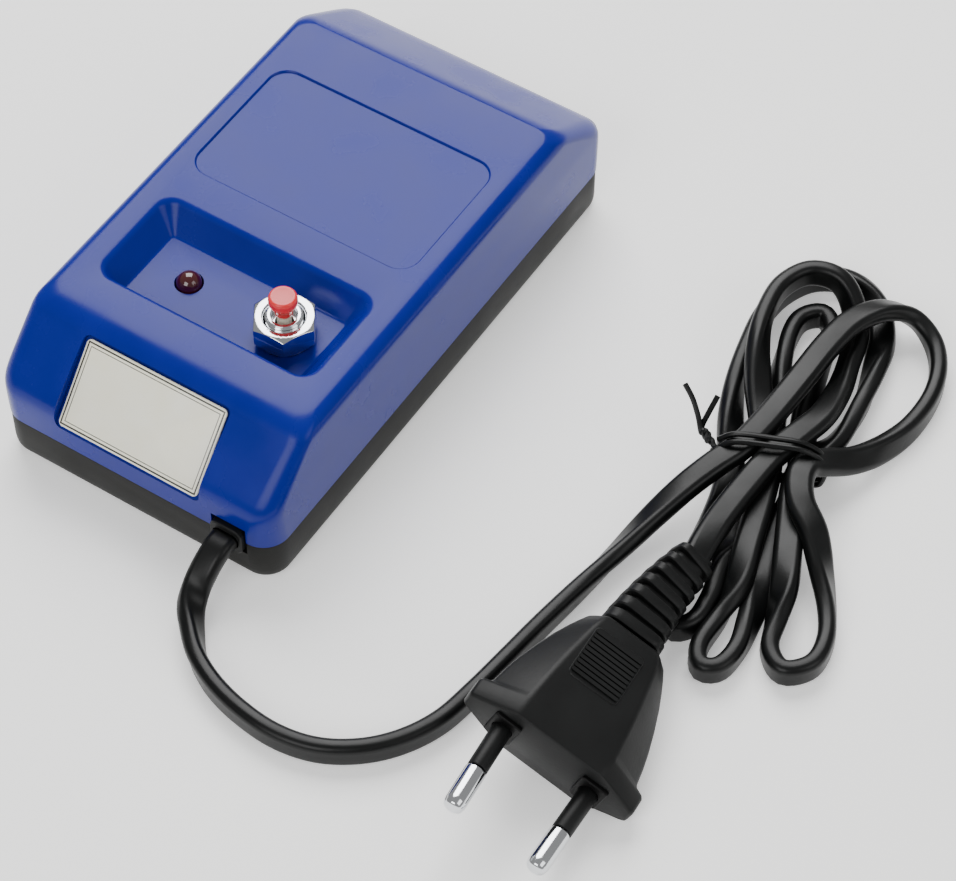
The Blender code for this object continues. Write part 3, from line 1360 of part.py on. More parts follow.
make_top_shell()
make_base_shell()
make_feet()
make_case_screws()
make_rating_plate()
make_lamp()
make_switch()
make_electromagnet()
make_wires(*make_inner_lead(make_grommet()))
make_free_cord()
make_plug()

for piece in parts.objects:
    if piece.type == "MESH":
        piece.data.shade_smooth()
        piece.data.set_sharp_from_angle(angle=math.radians(35))
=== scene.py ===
import math

import bmesh
import bpy
from mathutils import Matrix, Vector


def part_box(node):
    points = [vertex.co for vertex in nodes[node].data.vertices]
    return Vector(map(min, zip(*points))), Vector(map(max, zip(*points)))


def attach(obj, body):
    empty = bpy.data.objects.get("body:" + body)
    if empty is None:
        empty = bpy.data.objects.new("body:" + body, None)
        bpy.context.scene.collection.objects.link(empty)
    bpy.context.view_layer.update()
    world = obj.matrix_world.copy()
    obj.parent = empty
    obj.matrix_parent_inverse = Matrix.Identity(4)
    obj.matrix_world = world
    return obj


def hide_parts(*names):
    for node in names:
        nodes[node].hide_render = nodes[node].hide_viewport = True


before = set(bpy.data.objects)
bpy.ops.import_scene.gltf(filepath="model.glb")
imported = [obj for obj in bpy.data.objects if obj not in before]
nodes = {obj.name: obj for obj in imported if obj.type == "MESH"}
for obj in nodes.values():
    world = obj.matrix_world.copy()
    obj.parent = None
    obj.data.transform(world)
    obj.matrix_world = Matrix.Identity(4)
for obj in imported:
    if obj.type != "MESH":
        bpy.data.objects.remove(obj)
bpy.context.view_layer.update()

mm = 0.001


# Materials: small helpers, then one function for each real material

def hexColour(text):
    # sRGB hex to the linear values that shaders take
    made = []
    for i in (0, 2, 4):
        value = int(text[i:i + 2], 16) / 255
        made.append(value / 12.92 if value <= 0.04045 else ((value + 0.055) / 1.055) ** 2.4)
    return (*made, 1.0)


def addNode(tree, kind, links=(), **settings):
    # One node with its settings; links are (input, output socket or plain value)
    node = tree.nodes.new(kind)
    for name, value in settings.items():
        setattr(node, name, value)
    for name, value in links:
        if isinstance(value, bpy.types.NodeSocket):
            tree.links.new(value, node.inputs[name])
        else:
            node.inputs[name].default_value = value
    return node


def newMaterial(name, colour, roughness, metallic=0.0, **sockets):
    made = bpy.data.materials.new(name)
    made.use_nodes = True
    tree = made.node_tree
    shader = tree.nodes["Principled BSDF"]
    shader.inputs["Base Color"].default_value = hexColour(colour)
    shader.inputs["Roughness"].default_value = roughness
    shader.inputs["Metallic"].default_value = metallic
    for socket, value in sockets.items():
        shader.inputs[socket.replace("_", " ")].default_value = value
    return made, tree, shader


def surfaceDetail(tree, shader, grain, depth, roughLow, roughHigh, tones=None):
    # grain is the pattern's size in mm; tones are two hex colours mixed by a slow noise
    place = addNode(tree, "ShaderNodeTexCoord").outputs["Object"]
    fine = addNode(tree, "ShaderNodeTexNoise", [("Vector", place), ("Scale", 1000 / grain), ("Detail", 3.0)])
    slow = addNode(tree, "ShaderNodeTexNoise", [("Vector", place), ("Scale", 90.0), ("Detail", 4.0)])
    rough = addNode(tree, "ShaderNodeMapRange", [("Value", slow.outputs["Fac"]), ("From Min", 0.3),
                    ("From Max", 0.7), ("To Min", roughLow), ("To Max", roughHigh)])
    tree.links.new(rough.outputs["Result"], shader.inputs["Roughness"])
    bump = addNode(tree, "ShaderNodeBump", [("Height", fine.outputs["Fac"]), ("Distance", depth * mm),
                   ("Strength", 0.6)])
    tree.links.new(bump.outputs["Normal"], shader.inputs["Normal"])
    if tones:
        blend = addNode(tree, "ShaderNodeMix", data_type="RGBA")
        tree.links.new(slow.outputs["Fac"], blend.inputs["Factor"])
        for socket in blend.inputs:
            if socket.type == "RGBA" and socket.name in "AB":
                socket.default_value = hexColour(tones["AB".index(socket.name)])
        colour = [socket for socket in blend.outputs if socket.type == "RGBA"][0]
        tree.links.new(colour, shader.inputs["Base Color"])


def detailed(detail, *base, **sockets):
    # A whole material: detail goes to surfaceDetail, the rest to newMaterial
    made, tree, shader = newMaterial(*base, **sockets)
    surfaceDetail(tree, shader, *detail)
    return made


# Royal-blue ABS, injection moulded in a polished tool: even gloss, faint flow haze
blueAbs = detailed((0.9, 0.012, 0.2, 0.3, ("0a1878", "0d1d88")),
                   "blueAbsMoulded", "0b1a80", 0.24, IOR=1.53, Specular_IOR_Level=0.17)
# Charcoal ABS from a spark-eroded tool: fine matt grain, drawn at 0.5 mm so that it shows
charcoalAbs = detailed((0.5, 0.05, 0.42, 0.55, ("1c1c1b", "252523")),
                       "charcoalAbsGrained", "20201e", 0.5, IOR=1.53, Specular_IOR_Level=0.15)
# Nitrile rubber, moulded: dull and slightly dusty
footRubber = detailed((0.6, 0.04, 0.7, 0.9, ("181818", "262625")), "blackRubberMoulded", "1c1c1c", 0.8)
# Soft black PVC, extruded or moulded: low sheen with grey edges
cordPvc = detailed((0.7, 0.02, 0.28, 0.42, ("080909", "0e0f0f")),
                   "blackPvcExtruded", "0a0b0b", 0.34, IOR=1.54, Specular_IOR_Level=0.22)
plugPvc = detailed((0.6, 0.03, 0.4, 0.52, ("0b0c0c", "101111")),
                   "blackPvcMoulded", "0d0e0e", 0.46, IOR=1.54, Specular_IOR_Level=0.2)
collarPvc = detailed((0.6, 0.03, 0.45, 0.55),
                     "blackPvcCollar", "050505", 0.5, IOR=1.54, Specular_IOR_Level=0.15)
# Zinc-plated steel: bluish grey, slightly cloudy
zincSteel = detailed((0.4, 0.006, 0.22, 0.38, ("a9adb5", "c9cbcf")), "zincPlatedSteel", "b9bcc2", 0.3, 1.0)
# Bright nickel-chrome plate: near mirror, a little worn
chromePlate = detailed((0.5, 0.004, 0.07, 0.17), "chromePlatedBrass", "d9dbde", 0.1, 1.0)
# Spring brass, stamped
stampedBrass = detailed((0.5, 0.006, 0.25, 0.4, ("c0964a", "d9b46c")), "brassStamped", "cfa558", 0.3, 1.0)
# Silicon steel sheet with a dark oxide scale
siliconSteel = detailed((0.5, 0.01, 0.38, 0.55, ("5c5e63", "7b7d82")),
                        "siliconSteelSheet", "6d6f74", 0.45, 1.0)
# Enamelled copper wire: warm and clear coated
enamelCopper = detailed((0.4, 0.006, 0.2, 0.32, ("a4552a", "c57038")),
                        "enamelledCopperWire", "b5622d", 0.26, 1.0)
# Natural nylon, moulded
naturalNylon = detailed((0.6, 0.02, 0.36, 0.5, ("ddd6c0", "e8e3d2")), "naturalNylonMoulded", "e2dcc8", 0.42)
# Polyester tape
yellowTape = detailed((0.5, 0.01, 0.28, 0.42, ("d9a52b", "e8bb42")), "polyesterTape", "e0b032", 0.35)
# Resistor body: fired ceramic
ceramicBody = detailed((0.4, 0.02, 0.5, 0.65, ("c09d72", "d2b289")), "firedCeramic", "c9a77c", 0.55)
# Wire insulation in three colours
wireColours = {}
for label, colour, other in (("brown", "5a3a22", "644127"), ("blue", "2a58a8", "3162b4"),
                             ("red", "b3262a", "be3033")):
    wireColours[label] = detailed((0.4, 0.01, 0.36, 0.5, (colour, other)),
                                  label + "PvcInsulation", colour, 0.42, IOR=1.54)
# Red ABS cap: bright, semi-gloss
redAbs = detailed((0.5, 0.01, 0.24, 0.36, ("d92228", "ec3237")), "redAbsMoulded", "e2272c", 0.3, IOR=1.53)
# Tinted epoxy dome, cast: dark and glassy
redEpoxy = detailed((0.8, 0.002, 0.04, 0.1, ("340a0f", "4a1217")),
                    "redEpoxyCast", "3c0d12", 0.06, IOR=1.55, Coat_Weight=0.4)


quarterX = Matrix.Rotation(math.pi / 2, 4, "X")


# Mesh helpers. Everything is drawn in millimetres and scaled once at the end

def newObject(name, data):
    made = bpy.data.objects.new(name, data)
    bpy.context.scene.collection.objects.link(made)
    return made


def finishMesh(name, bm, finish, sharp=35, place=None):
    bmesh.ops.remove_doubles(bm, verts=bm.verts, dist=0.0005)
    if place:
        bmesh.ops.transform(bm, matrix=place, verts=bm.verts)
    bmesh.ops.scale(bm, vec=(mm, mm, mm), verts=bm.verts)
    bmesh.ops.recalc_face_normals(bm, faces=bm.faces)
    mesh = bpy.data.meshes.new(name)
    bm.to_mesh(mesh)
    bm.free()
    made = newObject(name, mesh)
    mesh.materials.append(finish)
    mesh.shade_smooth()
    mesh.set_sharp_from_angle(angle=math.radians(sharp))
    return made


def ringPoints(xLow, xHigh, yLow, yHigh, radius, z, steps=12):
    # A rectangle with round corners, anticlockwise from above
    radius = max(0.05, min(radius, (xHigh - xLow) / 2.02, (yHigh - yLow) / 2.02))
    corners = ((xHigh - radius, yHigh - radius), (xLow + radius, yHigh - radius),
               (xLow + radius, yLow + radius), (xHigh - radius, yLow + radius))
    made = []
    for quarter, (cx, cy) in enumerate(corners):
        for step in range(steps + 1):
            turn = (quarter + step / steps) * math.pi / 2
            made.append(Vector((cx + radius * math.cos(turn), cy + radius * math.sin(turn), z)))
    return made


def uprightRing(halfX, halfZ, radius, y, x=0, z=0, steps=6):
    # The same outline standing across the y axis
    return [Vector((x + p.x, y, z + p.y)) for p in ringPoints(-halfX, halfX, -halfZ, halfZ, radius, 0, steps)]


def loftMesh(rings):
    bm = bmesh.new()
    levels = [[bm.verts.new(point) for point in ring] for ring in rings]
    for lower, upper in zip(levels, levels[1:]):
        for i in range(len(lower)):
            j = (i + 1) % len(lower)
            bm.faces.new((lower[i], lower[j], upper[j], upper[i]))
    bm.faces.new(list(reversed(levels[0])))
    bm.faces.new(levels[-1])
    return bm


def latheMesh(profile, steps=64, centre=(0, 0)):
    # profile is (radius, height) from the axis round and back to it
    bm = bmesh.new()
    rings = []
    for radius, height in profile:
        if radius < 1e-6:
            rings.append([bm.verts.new((centre[0], centre[1], height))])
        else:
            rings.append([bm.verts.new((centre[0] + radius * math.cos(math.tau * i / steps),
                                        centre[1] + radius * math.sin(math.tau * i / steps), height))
                          for i in range(steps)])
    pairs = list(zip(rings, rings[1:]))
    if len(rings[0]) > 1:
        pairs.append((rings[-1], rings[0]))
    for a, b in pairs:
        for i in range(steps):
            j = (i + 1) % steps
            corners = [a[i % len(a)], a[j % len(a)], b[j % len(b)], b[i % len(b)]]
            unique = [v for k, v in enumerate(corners) if v not in corners[:k]]
            if len(unique) > 2:
                bm.faces.new(unique)
    return bm


def softened(points, radius, steps=4, closed=False):
    # Rounds the corners of a 2-D outline with small arcs
    made = []
    count = len(points)
    for i, point in enumerate(points):
        if not closed and i in (0, count - 1):
            made.append(tuple(point))
            continue
        here = Vector(point)
        before, after = Vector(points[i - 1]) - here, Vector(points[(i + 1) % count]) - here
        reach = min(radius, before.length * 0.45, after.length * 0.45)
        start, end = here + before.normalized() * reach, here + after.normalized() * reach
        for k in range(steps + 1):
            t = k / steps
            made.append(tuple(start * (1 - t) ** 2 + here * 2 * t * (1 - t) + end * t * t))
    return made


def boxMesh(low, high):
    bm = bmesh.new()
    bmesh.ops.create_cube(bm, size=1.0)
    low, high = Vector(low), Vector(high)
    bmesh.ops.scale(bm, vec=high - low, verts=bm.verts)
    bmesh.ops.translate(bm, vec=(low + high) / 2, verts=bm.verts)
    return bm


def rodMesh(x, y, low, high, radius, steps=40):
    return latheMesh([(0, high), (radius, high), (radius, low), (0, low)], steps, (x, y))


def rods(rows, finish):
    # Upright cylinders, each row being x, y, low, high, radius and any steps
    return [finishMesh("rod", rodMesh(*row), finish) for row in rows]


def cutBy(target, tools, operation="DIFFERENCE"):
    # Booleans applied at once, then the tools are thrown away
    for tool in tools:
        change = target.modifiers.new("cut", "BOOLEAN")
        change.object, change.operation, change.solver = tool, operation, "EXACT"
    return applied(target, tools)


def applied(target, spent=()):
    bpy.context.view_layer.update()
    graph = bpy.context.evaluated_depsgraph_get()
    mesh = bpy.data.meshes.new_from_object(target.evaluated_get(graph))
    target.modifiers.clear()
    target.data = mesh
    for tool in spent:
        bpy.data.objects.remove(tool)
    mesh.shade_smooth()
    mesh.set_sharp_from_angle(angle=math.radians(35))
    return target


def rolled(target, width, segments=2, angle=40):
    # Small radius on every crisp edge
    change = target.modifiers.new("edge", "BEVEL")
    change.width, change.segments, change.limit_method = width * mm, segments, "ANGLE"
    change.angle_limit = math.radians(angle)
    return applied(target)


def settle(piece, body, slot, *replaced):
    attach(piece, body)
    if replaced:
        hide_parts(*replaced)
    return piece


def catmull(points, per=8):
    # A smooth line through points of any size, per steps between each pair
    count = len(points)
    made = []
    for i in range(count - 1):
        p1, p2 = points[i], points[i + 1]
        p0 = points[i - 1] if i > 0 else [2 * a - b for a, b in zip(p1, p2)]
        p3 = points[i + 2] if i + 2 < count else [2 * b - a for a, b in zip(p1, p2)]
        for k in range(per):
            t = k / per
            made.append([0.5 * (2 * b + (c - a) * t + (2 * a - 5 * b + 4 * c - d) * t * t
                                + (3 * b - a - 3 * c + d) * t ** 3)
                         for a, b, c, d in zip(p0, p1, p2, p3)])
    return made + [list(points[-1])]


# Geometry Nodes: copies of one small shape in a row along a path

def makeRowTree():
    tree = bpy.data.node_groups.new("rowAlongPath", "GeometryNodeTree")
    for name, kind in (("Path", "NodeSocketObject"), ("Unit", "NodeSocketObject"), ("Count", "NodeSocketInt"),
                       ("First Scale", "NodeSocketFloat"), ("Last Scale", "NodeSocketFloat"),
                       ("Finish", "NodeSocketMaterial")):
        tree.interface.new_socket(name, in_out="INPUT", socket_type=kind)
    tree.interface.new_socket("Geometry", in_out="OUTPUT", socket_type="NodeSocketGeometry")
    given = addNode(tree, "NodeGroupInput").outputs
    path = addNode(tree, "GeometryNodeObjectInfo", [("Object", given["Path"])])
    unit = addNode(tree, "GeometryNodeObjectInfo", [("Object", given["Unit"])])
    row = addNode(tree, "GeometryNodeCurveToPoints", [("Curve", path.outputs["Geometry"]),
                  ("Count", given["Count"])], mode="COUNT")
    turn = addNode(tree, "FunctionNodeAlignRotationToVector", [("Vector", row.outputs["Tangent"])], axis="Z")
    place = addNode(tree, "GeometryNodeInputIndex")
    last = addNode(tree, "ShaderNodeMath", [(0, given["Count"]), (1, 1.0)], operation="SUBTRACT")
    size = addNode(tree, "ShaderNodeMapRange", [("Value", place.outputs[0]), ("From Max", last.outputs[0]),
                   ("To Min", given["First Scale"]), ("To Max", given["Last Scale"])])
    copies = addNode(tree, "GeometryNodeInstanceOnPoints", [("Points", row.outputs["Points"]),
                     ("Instance", unit.outputs["Geometry"]), ("Rotation", turn.outputs["Rotation"]),
                     ("Scale", size.outputs["Result"])])
    solid = addNode(tree, "GeometryNodeRealizeInstances", [("Geometry", copies.outputs["Instances"])])
    finish = addNode(tree, "GeometryNodeSetMaterial", [("Geometry", solid.outputs[0]),
                     ("Material", given["Finish"])])
    addNode(tree, "NodeGroupOutput", [("Geometry", finish.outputs[0])])
    return tree


rowTree = makeRowTree()


def rowOf(name, unit, path, count, finish, first=1.0, last=1.0, place=None):
    # unit is a finished small object at the origin, its row direction along Z; path is in millimetres
    curve = bpy.data.curves.new(name + "Path", "CURVE")
    curve.dimensions = "3D"
    line = curve.splines.new("POLY")
    line.points.add(len(path) - 1)
    for point, at in zip(line.points, path):
        point.co = (*(Vector(at) * mm), 1.0)
    guide, made = newObject(name + "Path", curve), newObject(name, bpy.data.meshes.new(name))
    change = made.modifiers.new("row", "NODES")
    change.node_group = rowTree
    values = {"Path": guide, "Unit": unit, "Count": count, "First Scale": first, "Last Scale": last,
              "Finish": finish}
    for item in rowTree.interface.items_tree:
        if item.in_out == "INPUT":
            change[item.identifier] = values[item.name]
    applied(made, (guide, unit))
    if place:
        made.data.transform(Matrix.Diagonal((mm, mm, mm, 1)) @ place @ Matrix.Diagonal((1000, 1000, 1000, 1)))
    return made


def joined(name, pieces):
    # Several meshes made one piece
    bm = bmesh.new()
    finishes = []
    for piece in pieces:
        start = len(bm.faces)
        bm.from_mesh(piece.data)
        bm.faces.ensure_lookup_table()
        finish = piece.data.materials[0]
        if finish not in finishes:
            finishes.append(finish)
        for face in bm.faces[start:]:
            face.material_index = finishes.index(finish)
    mesh = bpy.data.meshes.new(name)
    bm.to_mesh(mesh)
    bm.free()
    for piece in pieces:
        bpy.data.objects.remove(piece)
    for finish in finishes:
        mesh.materials.append(finish)
    mesh.set_sharp_from_angle(angle=math.radians(35))
    return newObject(name, mesh)


# Camera

view = {"turn": 32.964, "height": 52.517, "distance": 648.04, "lens": 125.195, "across": 32.08, "up": -25.02}


def makeCamera():
    a, e = math.radians(view["turn"]), math.radians(view["height"])
    back = Vector((math.sin(a) * math.cos(e), -math.cos(a) * math.cos(e), math.sin(e)))
    right = Vector((math.cos(a), math.sin(a), 0))
    up = back.cross(right)
    data = bpy.data.cameras.new("studioCamera")
    data.lens, data.sensor_width, data.sensor_fit = view["lens"], 36.0, "HORIZONTAL"
    data.clip_start, data.clip_end = 0.01, 20
    camera = newObject("studioCamera", data)
    turned = Matrix((right, up, back)).transposed().to_4x4()
    spot = right * view["across"] + up * view["up"] + back * view["distance"] + Vector((0, 0, 1.2))
    camera.matrix_world = Matrix.Translation(spot * mm) @ turned
    bpy.context.scene.camera = camera


makeCamera()
print("camera done")


# Mains lead: flat two-core cord, tied in a small bundle. Points are x, y, z in mm and the lean of its
# flat side in degrees, 0 lying flat and 90 on edge

lead = {"width": 5.4, "thickness": 3.4, "corner": 1.35}
cordRoute = [
    (21.7, -59, 10.7, 0), (21.7, -61.4, 10.6, 0), (21.45, -64.6, 8.6, 4), (21.3, -67.6, 5.7, 18),
    (22.3, -70.9, 4, 38), (24.8, -74.2, 3.1, 60), (29.1, -78.6, 2.9, 80), (35.3, -82, 2.8, 90),
    (42.7, -84, 2.8, 90), (50.7, -84.6, 2.8, 90), (58.3, -83, 2.8, 90), (64.9, -79, 2.8, 90),
    (69.9, -73.4, 2.8, 90), (73.3, -66.4, 2.8, 90), (74.9, -58, 2.8, 90), (76.1, -48.8, 2.8, 90),
    (77.3, -38.8, 2.8, 88), (78.9, -28, 2.9, 80), (80.6, -18, 3.5, 55), (82.4, -9, 5.2, 28),
    (84.6, -1, 7.2, 8), (87, 5.6, 8.6, 0), (88.9, 10.6, 9, 0),
    (89.8, 16.5, 9.1, 0), (90.3, 23.5, 9.2, 0), (90.6, 31.5, 9.3, 0), (90.9, 41.2, 9.4, 0),
    (92, 49.2, 9, 5), (95.3, 55.8, 7.8, 25), (100.2, 59.2, 5.2, 60), (105.6, 57.3, 3.2, 85),
    (109.6, 52, 2.8, 90), (111.7, 44.6, 2.8, 90), (111.6, 36.2, 2.8, 80), (109.6, 28.7, 3.4, 60),
    (106.9, 22.6, 5, 35), (103.6, 17.8, 7.4, 12), (101.6, 14.4, 8.8, 0),
    (102.2, 10.4, 9, 0), (105, 6.2, 8.6, 0), (109.8, 2.6, 7.4, 12), (114.6, -2.6, 4.4, 50),
    (119.2, -8.6, 2.9, 80), (122.2, -14.6, 2.8, 90), (122.6, -20.4, 2.8, 90), (118.9, -24.2, 2.8, 90),
    (114.6, -21.4, 2.8, 90), (112.6, -15.6, 3.3, 70), (110.6, -9.4, 4.8, 30), (107.4, -2.6, 5.5, 5),
    (104, 4.6, 5.4, 0), (101.3, 10.4, 5.4, 0), (100.2, 15, 5.3, 0),
    (100.6, 20, 4.8, 20), (101.8, 26.8, 3.3, 60), (101.2, 36.4, 2.8, 85), (99.4, 45, 2.7, 55),
    (96.4, 53.9, 1.8, 5), (91.6, 59.9, 2.2, 30), (84.6, 62, 2.8, 75), (78.6, 59.2, 2.8, 90),
    (75.2, 52.6, 2.8, 90), (74.6, 44.9, 2.8, 90), (75.9, 37.1, 2.8, 90), (78.2, 29, 2.8, 80),
    (81.8, 21, 2.5, 45), (85.6, 14.6, 1.9, 8), (88.2, 9.6, 1.8, 0),
    (90.2, 3.6, 1.8, 0), (92, -5, 2.2, 20), (93.2, -13, 2.7, 65), (94.4, -20, 2.8, 90),
    (94.9, -24.2, 2.8, 90), (97.6, -26.8, 2.8, 90), (100.2, -23.6, 2.8, 90), (99.8, -17.6, 2.8, 88),
    (97.9, -10.6, 2.8, 75), (97.4, -3, 1.9, 12), (96, 5, 1.8, 0), (94, 12.2, 1.8, 0),
    (91, 19.5, 1.8, 0), (87.6, 27.3, 2.1, 25), (84.2, 35.7, 2.8, 70), (81.6, 43.6, 2.8, 90),
    (81.4, 48.9, 2.8, 90), (84.6, 51.9, 2.8, 90), (88.2, 48.7, 2.8, 90), (89.6, 42.7, 2.8, 85),
    (91.4, 35.2, 2.6, 55), (94.6, 26.4, 1.9, 12), (98.2, 19.4, 1.8, 0), (100.4, 14, 1.8, 0),
    (101.8, 7, 1.8, 0), (103.6, -1, 1.8, 0), (106, -9.6, 1.9, 12), (108.2, -17.6, 2.6, 60),
    (109.6, -24.6, 2.8, 90), (109, -29.8, 2.8, 90), (106, -31.4, 2.8, 90), (103.6, -27.6, 2.8, 90),
    (103.4, -20, 2.9, 80), (103, -13, 4.4, 35), (100.4, -5, 5.6, 5), (97.4, 4.6, 5.4, 0),
    (94.6, 12.4, 5.3, 0),
    (91.6, 17.2, 5.3, 0), (87.6, 22.4, 5.5, -5), (83.2, 28.3, 6.6, -25), (79.2, 35.2, 8, -60),
    (76.6, 42.3, 8.4, -85), (75.9, 49.6, 8.4, -90), (78.6, 55.6, 8.4, -90), (84, 57.5, 8, -85),
    (88.8, 55.2, 6, -65), (92.6, 50, 3.6, -45), (94.8, 42.7, 3.4, -55), (96.8, 34.8, 5.2, -30),
    (97.8, 26.8, 7.6, -10), (96.8, 20, 8.8, 0), (95.2, 13.2, 9, 0),
    (94.6, 5, 9.1, 0), (94.3, -4, 9, 0), (94.4, -10, 8.5, 10), (94.8, -15, 8, 21.5),
]


def cordSection():
    # A rounded flat band with the faintest waist between its two cores
    half, thick, corner = lead["width"] / 2, lead["thickness"] / 2, lead["corner"]
    made = []
    for quarter, (cx, cz) in enumerate(((1, 1), (-1, 1), (-1, -1), (1, -1))):
        for step in range(5):
            turn = (quarter + step / 4) * math.pi / 2
            made.append((cx * (half - corner) + corner * math.cos(turn),
                         cz * (thick - corner) + corner * math.sin(turn)))
        if quarter in (0, 2):
            made.append((0, cz * (thick - 0.12)))
    return made


def makeCord():
    fine = catmull(cordRoute, 10)
    # even steps along the line
    points, run = [fine[0]], 0.0
    for a, b in zip(fine, fine[1:]):
        stretch = (Vector(b[:3]) - Vector(a[:3])).length
        while run + stretch >= 1.0:
            share = (1.0 - run) / stretch
            a = [p + (q - p) * share for p, q in zip(a, b)]
            points.append(a)
            stretch, run = (Vector(b[:3]) - Vector(a[:3])).length, 0.0
        run += stretch
    section = cordSection()
    bm = bmesh.new()
    uv = bm.loops.layers.uv.new("alongCord")
    rings = []
    for i, point in enumerate(points):
        here = Vector(point[:3])
        ahead = Vector(points[min(i + 1, len(points) - 1)][:3]) - Vector(points[max(i - 1, 0)][:3])
        ahead.normalize()
        side = ahead.cross(Vector((0, 0, 1))).normalized()
        top = side.cross(ahead)
        lean = math.radians(point[3])
        wide = side * math.cos(lean) + top * math.sin(lean)
        thin = wide.cross(ahead)
        # lifted wherever its lean would press it into the floor
        low = min((wide * u + thin * v).z for u, v in section) + here.z
        here += Vector((0, 0, max(0.0, 0.04 - low)))
        rings.append([bm.verts.new(here + wide * u + thin * v) for u, v in section])
    for i, (a, b) in enumerate(zip(rings, rings[1:])):
        for k in range(len(a)):
            j = (k + 1) % len(a)
            face = bm.faces.new((a[k], a[j], b[j], b[k]))
            for loop, spot in zip(face.loops, ((k, i), (k + 1, i), (k + 1, i + 1), (k, i + 1))):
                loop[uv].uv = (spot[0] / len(a), spot[1] / 100)
    bm.faces.new(list(reversed(rings[0])))
    bm.faces.new(rings[-1])
    made = finishMesh("mainsCord", bm, cordPvc, 60)
    length = sum((Vector(b[:3]) - Vector(a[:3])).length for a, b in zip(points, points[1:]))
    settle(made, "case", "cord", "cord_lead", "cord_hank", "cord_tail")
    return made, [[c * mm for c in point[:3]] for point in points], length * mm


cord, cordPath, cordLength = makeCord()
print("cord done, metres:", round(cordLength, 3))


# Case: royal-blue top over a charcoal tray

case = {"halfLength": 58.0, "halfWidth": 31.25, "top": 32.2, "split": 10.7, "bottom": 1.2, "floor": 3.2,
        "fillet": 3.2, "draft": 0.25, "cornerLow": 5.4, "cornerHigh": 3.2,
        "frontRidge": -40.4, "frontRadius": 8.6, "frontSlope": math.radians(42),
        "backRidge": 40.8, "backSlope": math.radians(33.5), "foldSoft": 1.5,
        "wall": 2.0, "roof": 2.0, "gap": 0.3, "screwTop": 20.0}
pocket = {"side": 23.9, "front": -34.0, "back": -11.9, "depth": 5.5, "taper": 4.0, "frontTaper": 1.4,
          "corner": 3.4, "wall": 2.0, "lip": 0.9}
pad = {"side": 24.9, "low": -3.65, "high": 27.25, "corner": 4.0, "depth": 0.4}
plate = {"x": -1.0, "y": -51.3, "z": 22.5, "tilt": math.radians(49), "width": 31.4, "height": 17.6,
         "thickness": 0.5, "margin": 0.7, "corner": 1.0}
lampAt, buttonAt, bushRadius = (-10.6, -23.6), (11.8, -24.3), 3.6
outlet = {"x": 21.7, "z": 10.7, "halfX": 3.5, "halfZ": 3.3}
pocketFloor = case["top"] - pocket["depth"]
panelUnder = pocketFloor - pocket["wall"]


def softer(a, b, way):
    # The larger or the smaller of two lines, with their corner rounded
    return (a + b + way * math.sqrt((a - b) ** 2 + case["foldSoft"] ** 2)) / 2


def frontAt(z):
    slope = math.tan(case["frontSlope"])
    arcY = case["frontRidge"] - case["frontRadius"] * math.sin(case["frontSlope"])
    arcZ = case["top"] - case["frontRadius"] * (1 - math.cos(case["frontSlope"]))
    wall = case["draft"] - case["halfLength"]
    if z < arcZ:
        return softer(wall, arcY + (z - arcZ) / slope, 1)
    rise = case["frontRadius"] - (case["top"] - z)
    return case["frontRidge"] - math.sqrt(max(0.0, case["frontRadius"] ** 2 - rise ** 2))


def backAt(z):
    wall = case["halfLength"] - case["draft"]
    slope = case["backRidge"] + (case["top"] - z) / math.tan(case["backSlope"])
    return softer(wall, slope - 0.5 * max(0.0, 1 - (case["top"] - z) / 1.6) ** 2, -1)


def sideAt(z):
    start = case["top"] - case["fillet"]
    if z <= start:
        return case["halfWidth"] - case["draft"] * (z - case["split"]) / (start - case["split"])
    return (case["halfWidth"] - case["draft"] - case["fillet"]
            + math.sqrt(max(0.0, case["fillet"] ** 2 - (z - start) ** 2)))


def caseRing(z, inset=0.0, at=None, steps=14):
    share = max(0.0, min(1.0, (z - case["split"]) / (case["top"] - case["split"])))
    corner = case["cornerLow"] + (case["cornerHigh"] - case["cornerLow"]) * share
    return ringPoints(-sideAt(z) + inset, sideAt(z) - inset, frontAt(z) + inset, backAt(z) - inset,
                      corner - inset, z if at is None else at, steps)


def caseLevels(top, count):
    low, start = case["split"], case["top"] - case["fillet"]
    heights = {low + (start - low) * i / count for i in range(count + 1)}
    heights |= {start + case["fillet"] * math.sin(math.radians(90 * i / count)) for i in range(count + 1)}
    return [z for z in sorted(heights) if z < top - 0.02] + [top]


def pocketRing(z, grow=0.0, steps=8):
    rise = (z - pocketFloor) / pocket["depth"]
    side = pocket["side"] - pocket["taper"] * (1 - rise) + grow
    corner = 0.8 + (pocket["corner"] - 0.8) * rise + grow
    return ringPoints(-side, side, pocket["front"] + pocket["frontTaper"] * (1 - rise) - grow,
                      pocket["back"] - pocket["taper"] * (1 - rise) + grow, corner, z, steps)


def plateMatrix():
    # Own x across the plate, y up its slope, z out from it
    return (Matrix.Translation((plate["x"], plate["y"], plate["z"]))
            @ Matrix.Rotation(plate["tilt"], 4, "X"))


def screwPlaces():
    for label, y in (("front", -40.6), ("back", 48.4)):
        for side, x in (("left", -24.25), ("right", 24.25)):
            yield label + "_" + side, x, y


def outletTools(finish):
    tools = []
    for grow, front, back in ((0.3, -63, -53.9), (1.3, -54.2, -52.4)):
        x, z = outlet["halfX"] + grow, outlet["halfZ"] + grow
        low, high = (outlet["x"] - x, front, outlet["z"] - z), (outlet["x"] + x, back, outlet["z"] + z)
        tools.append(finishMesh("outlet", boxMesh(low, high), finish))
    return tools


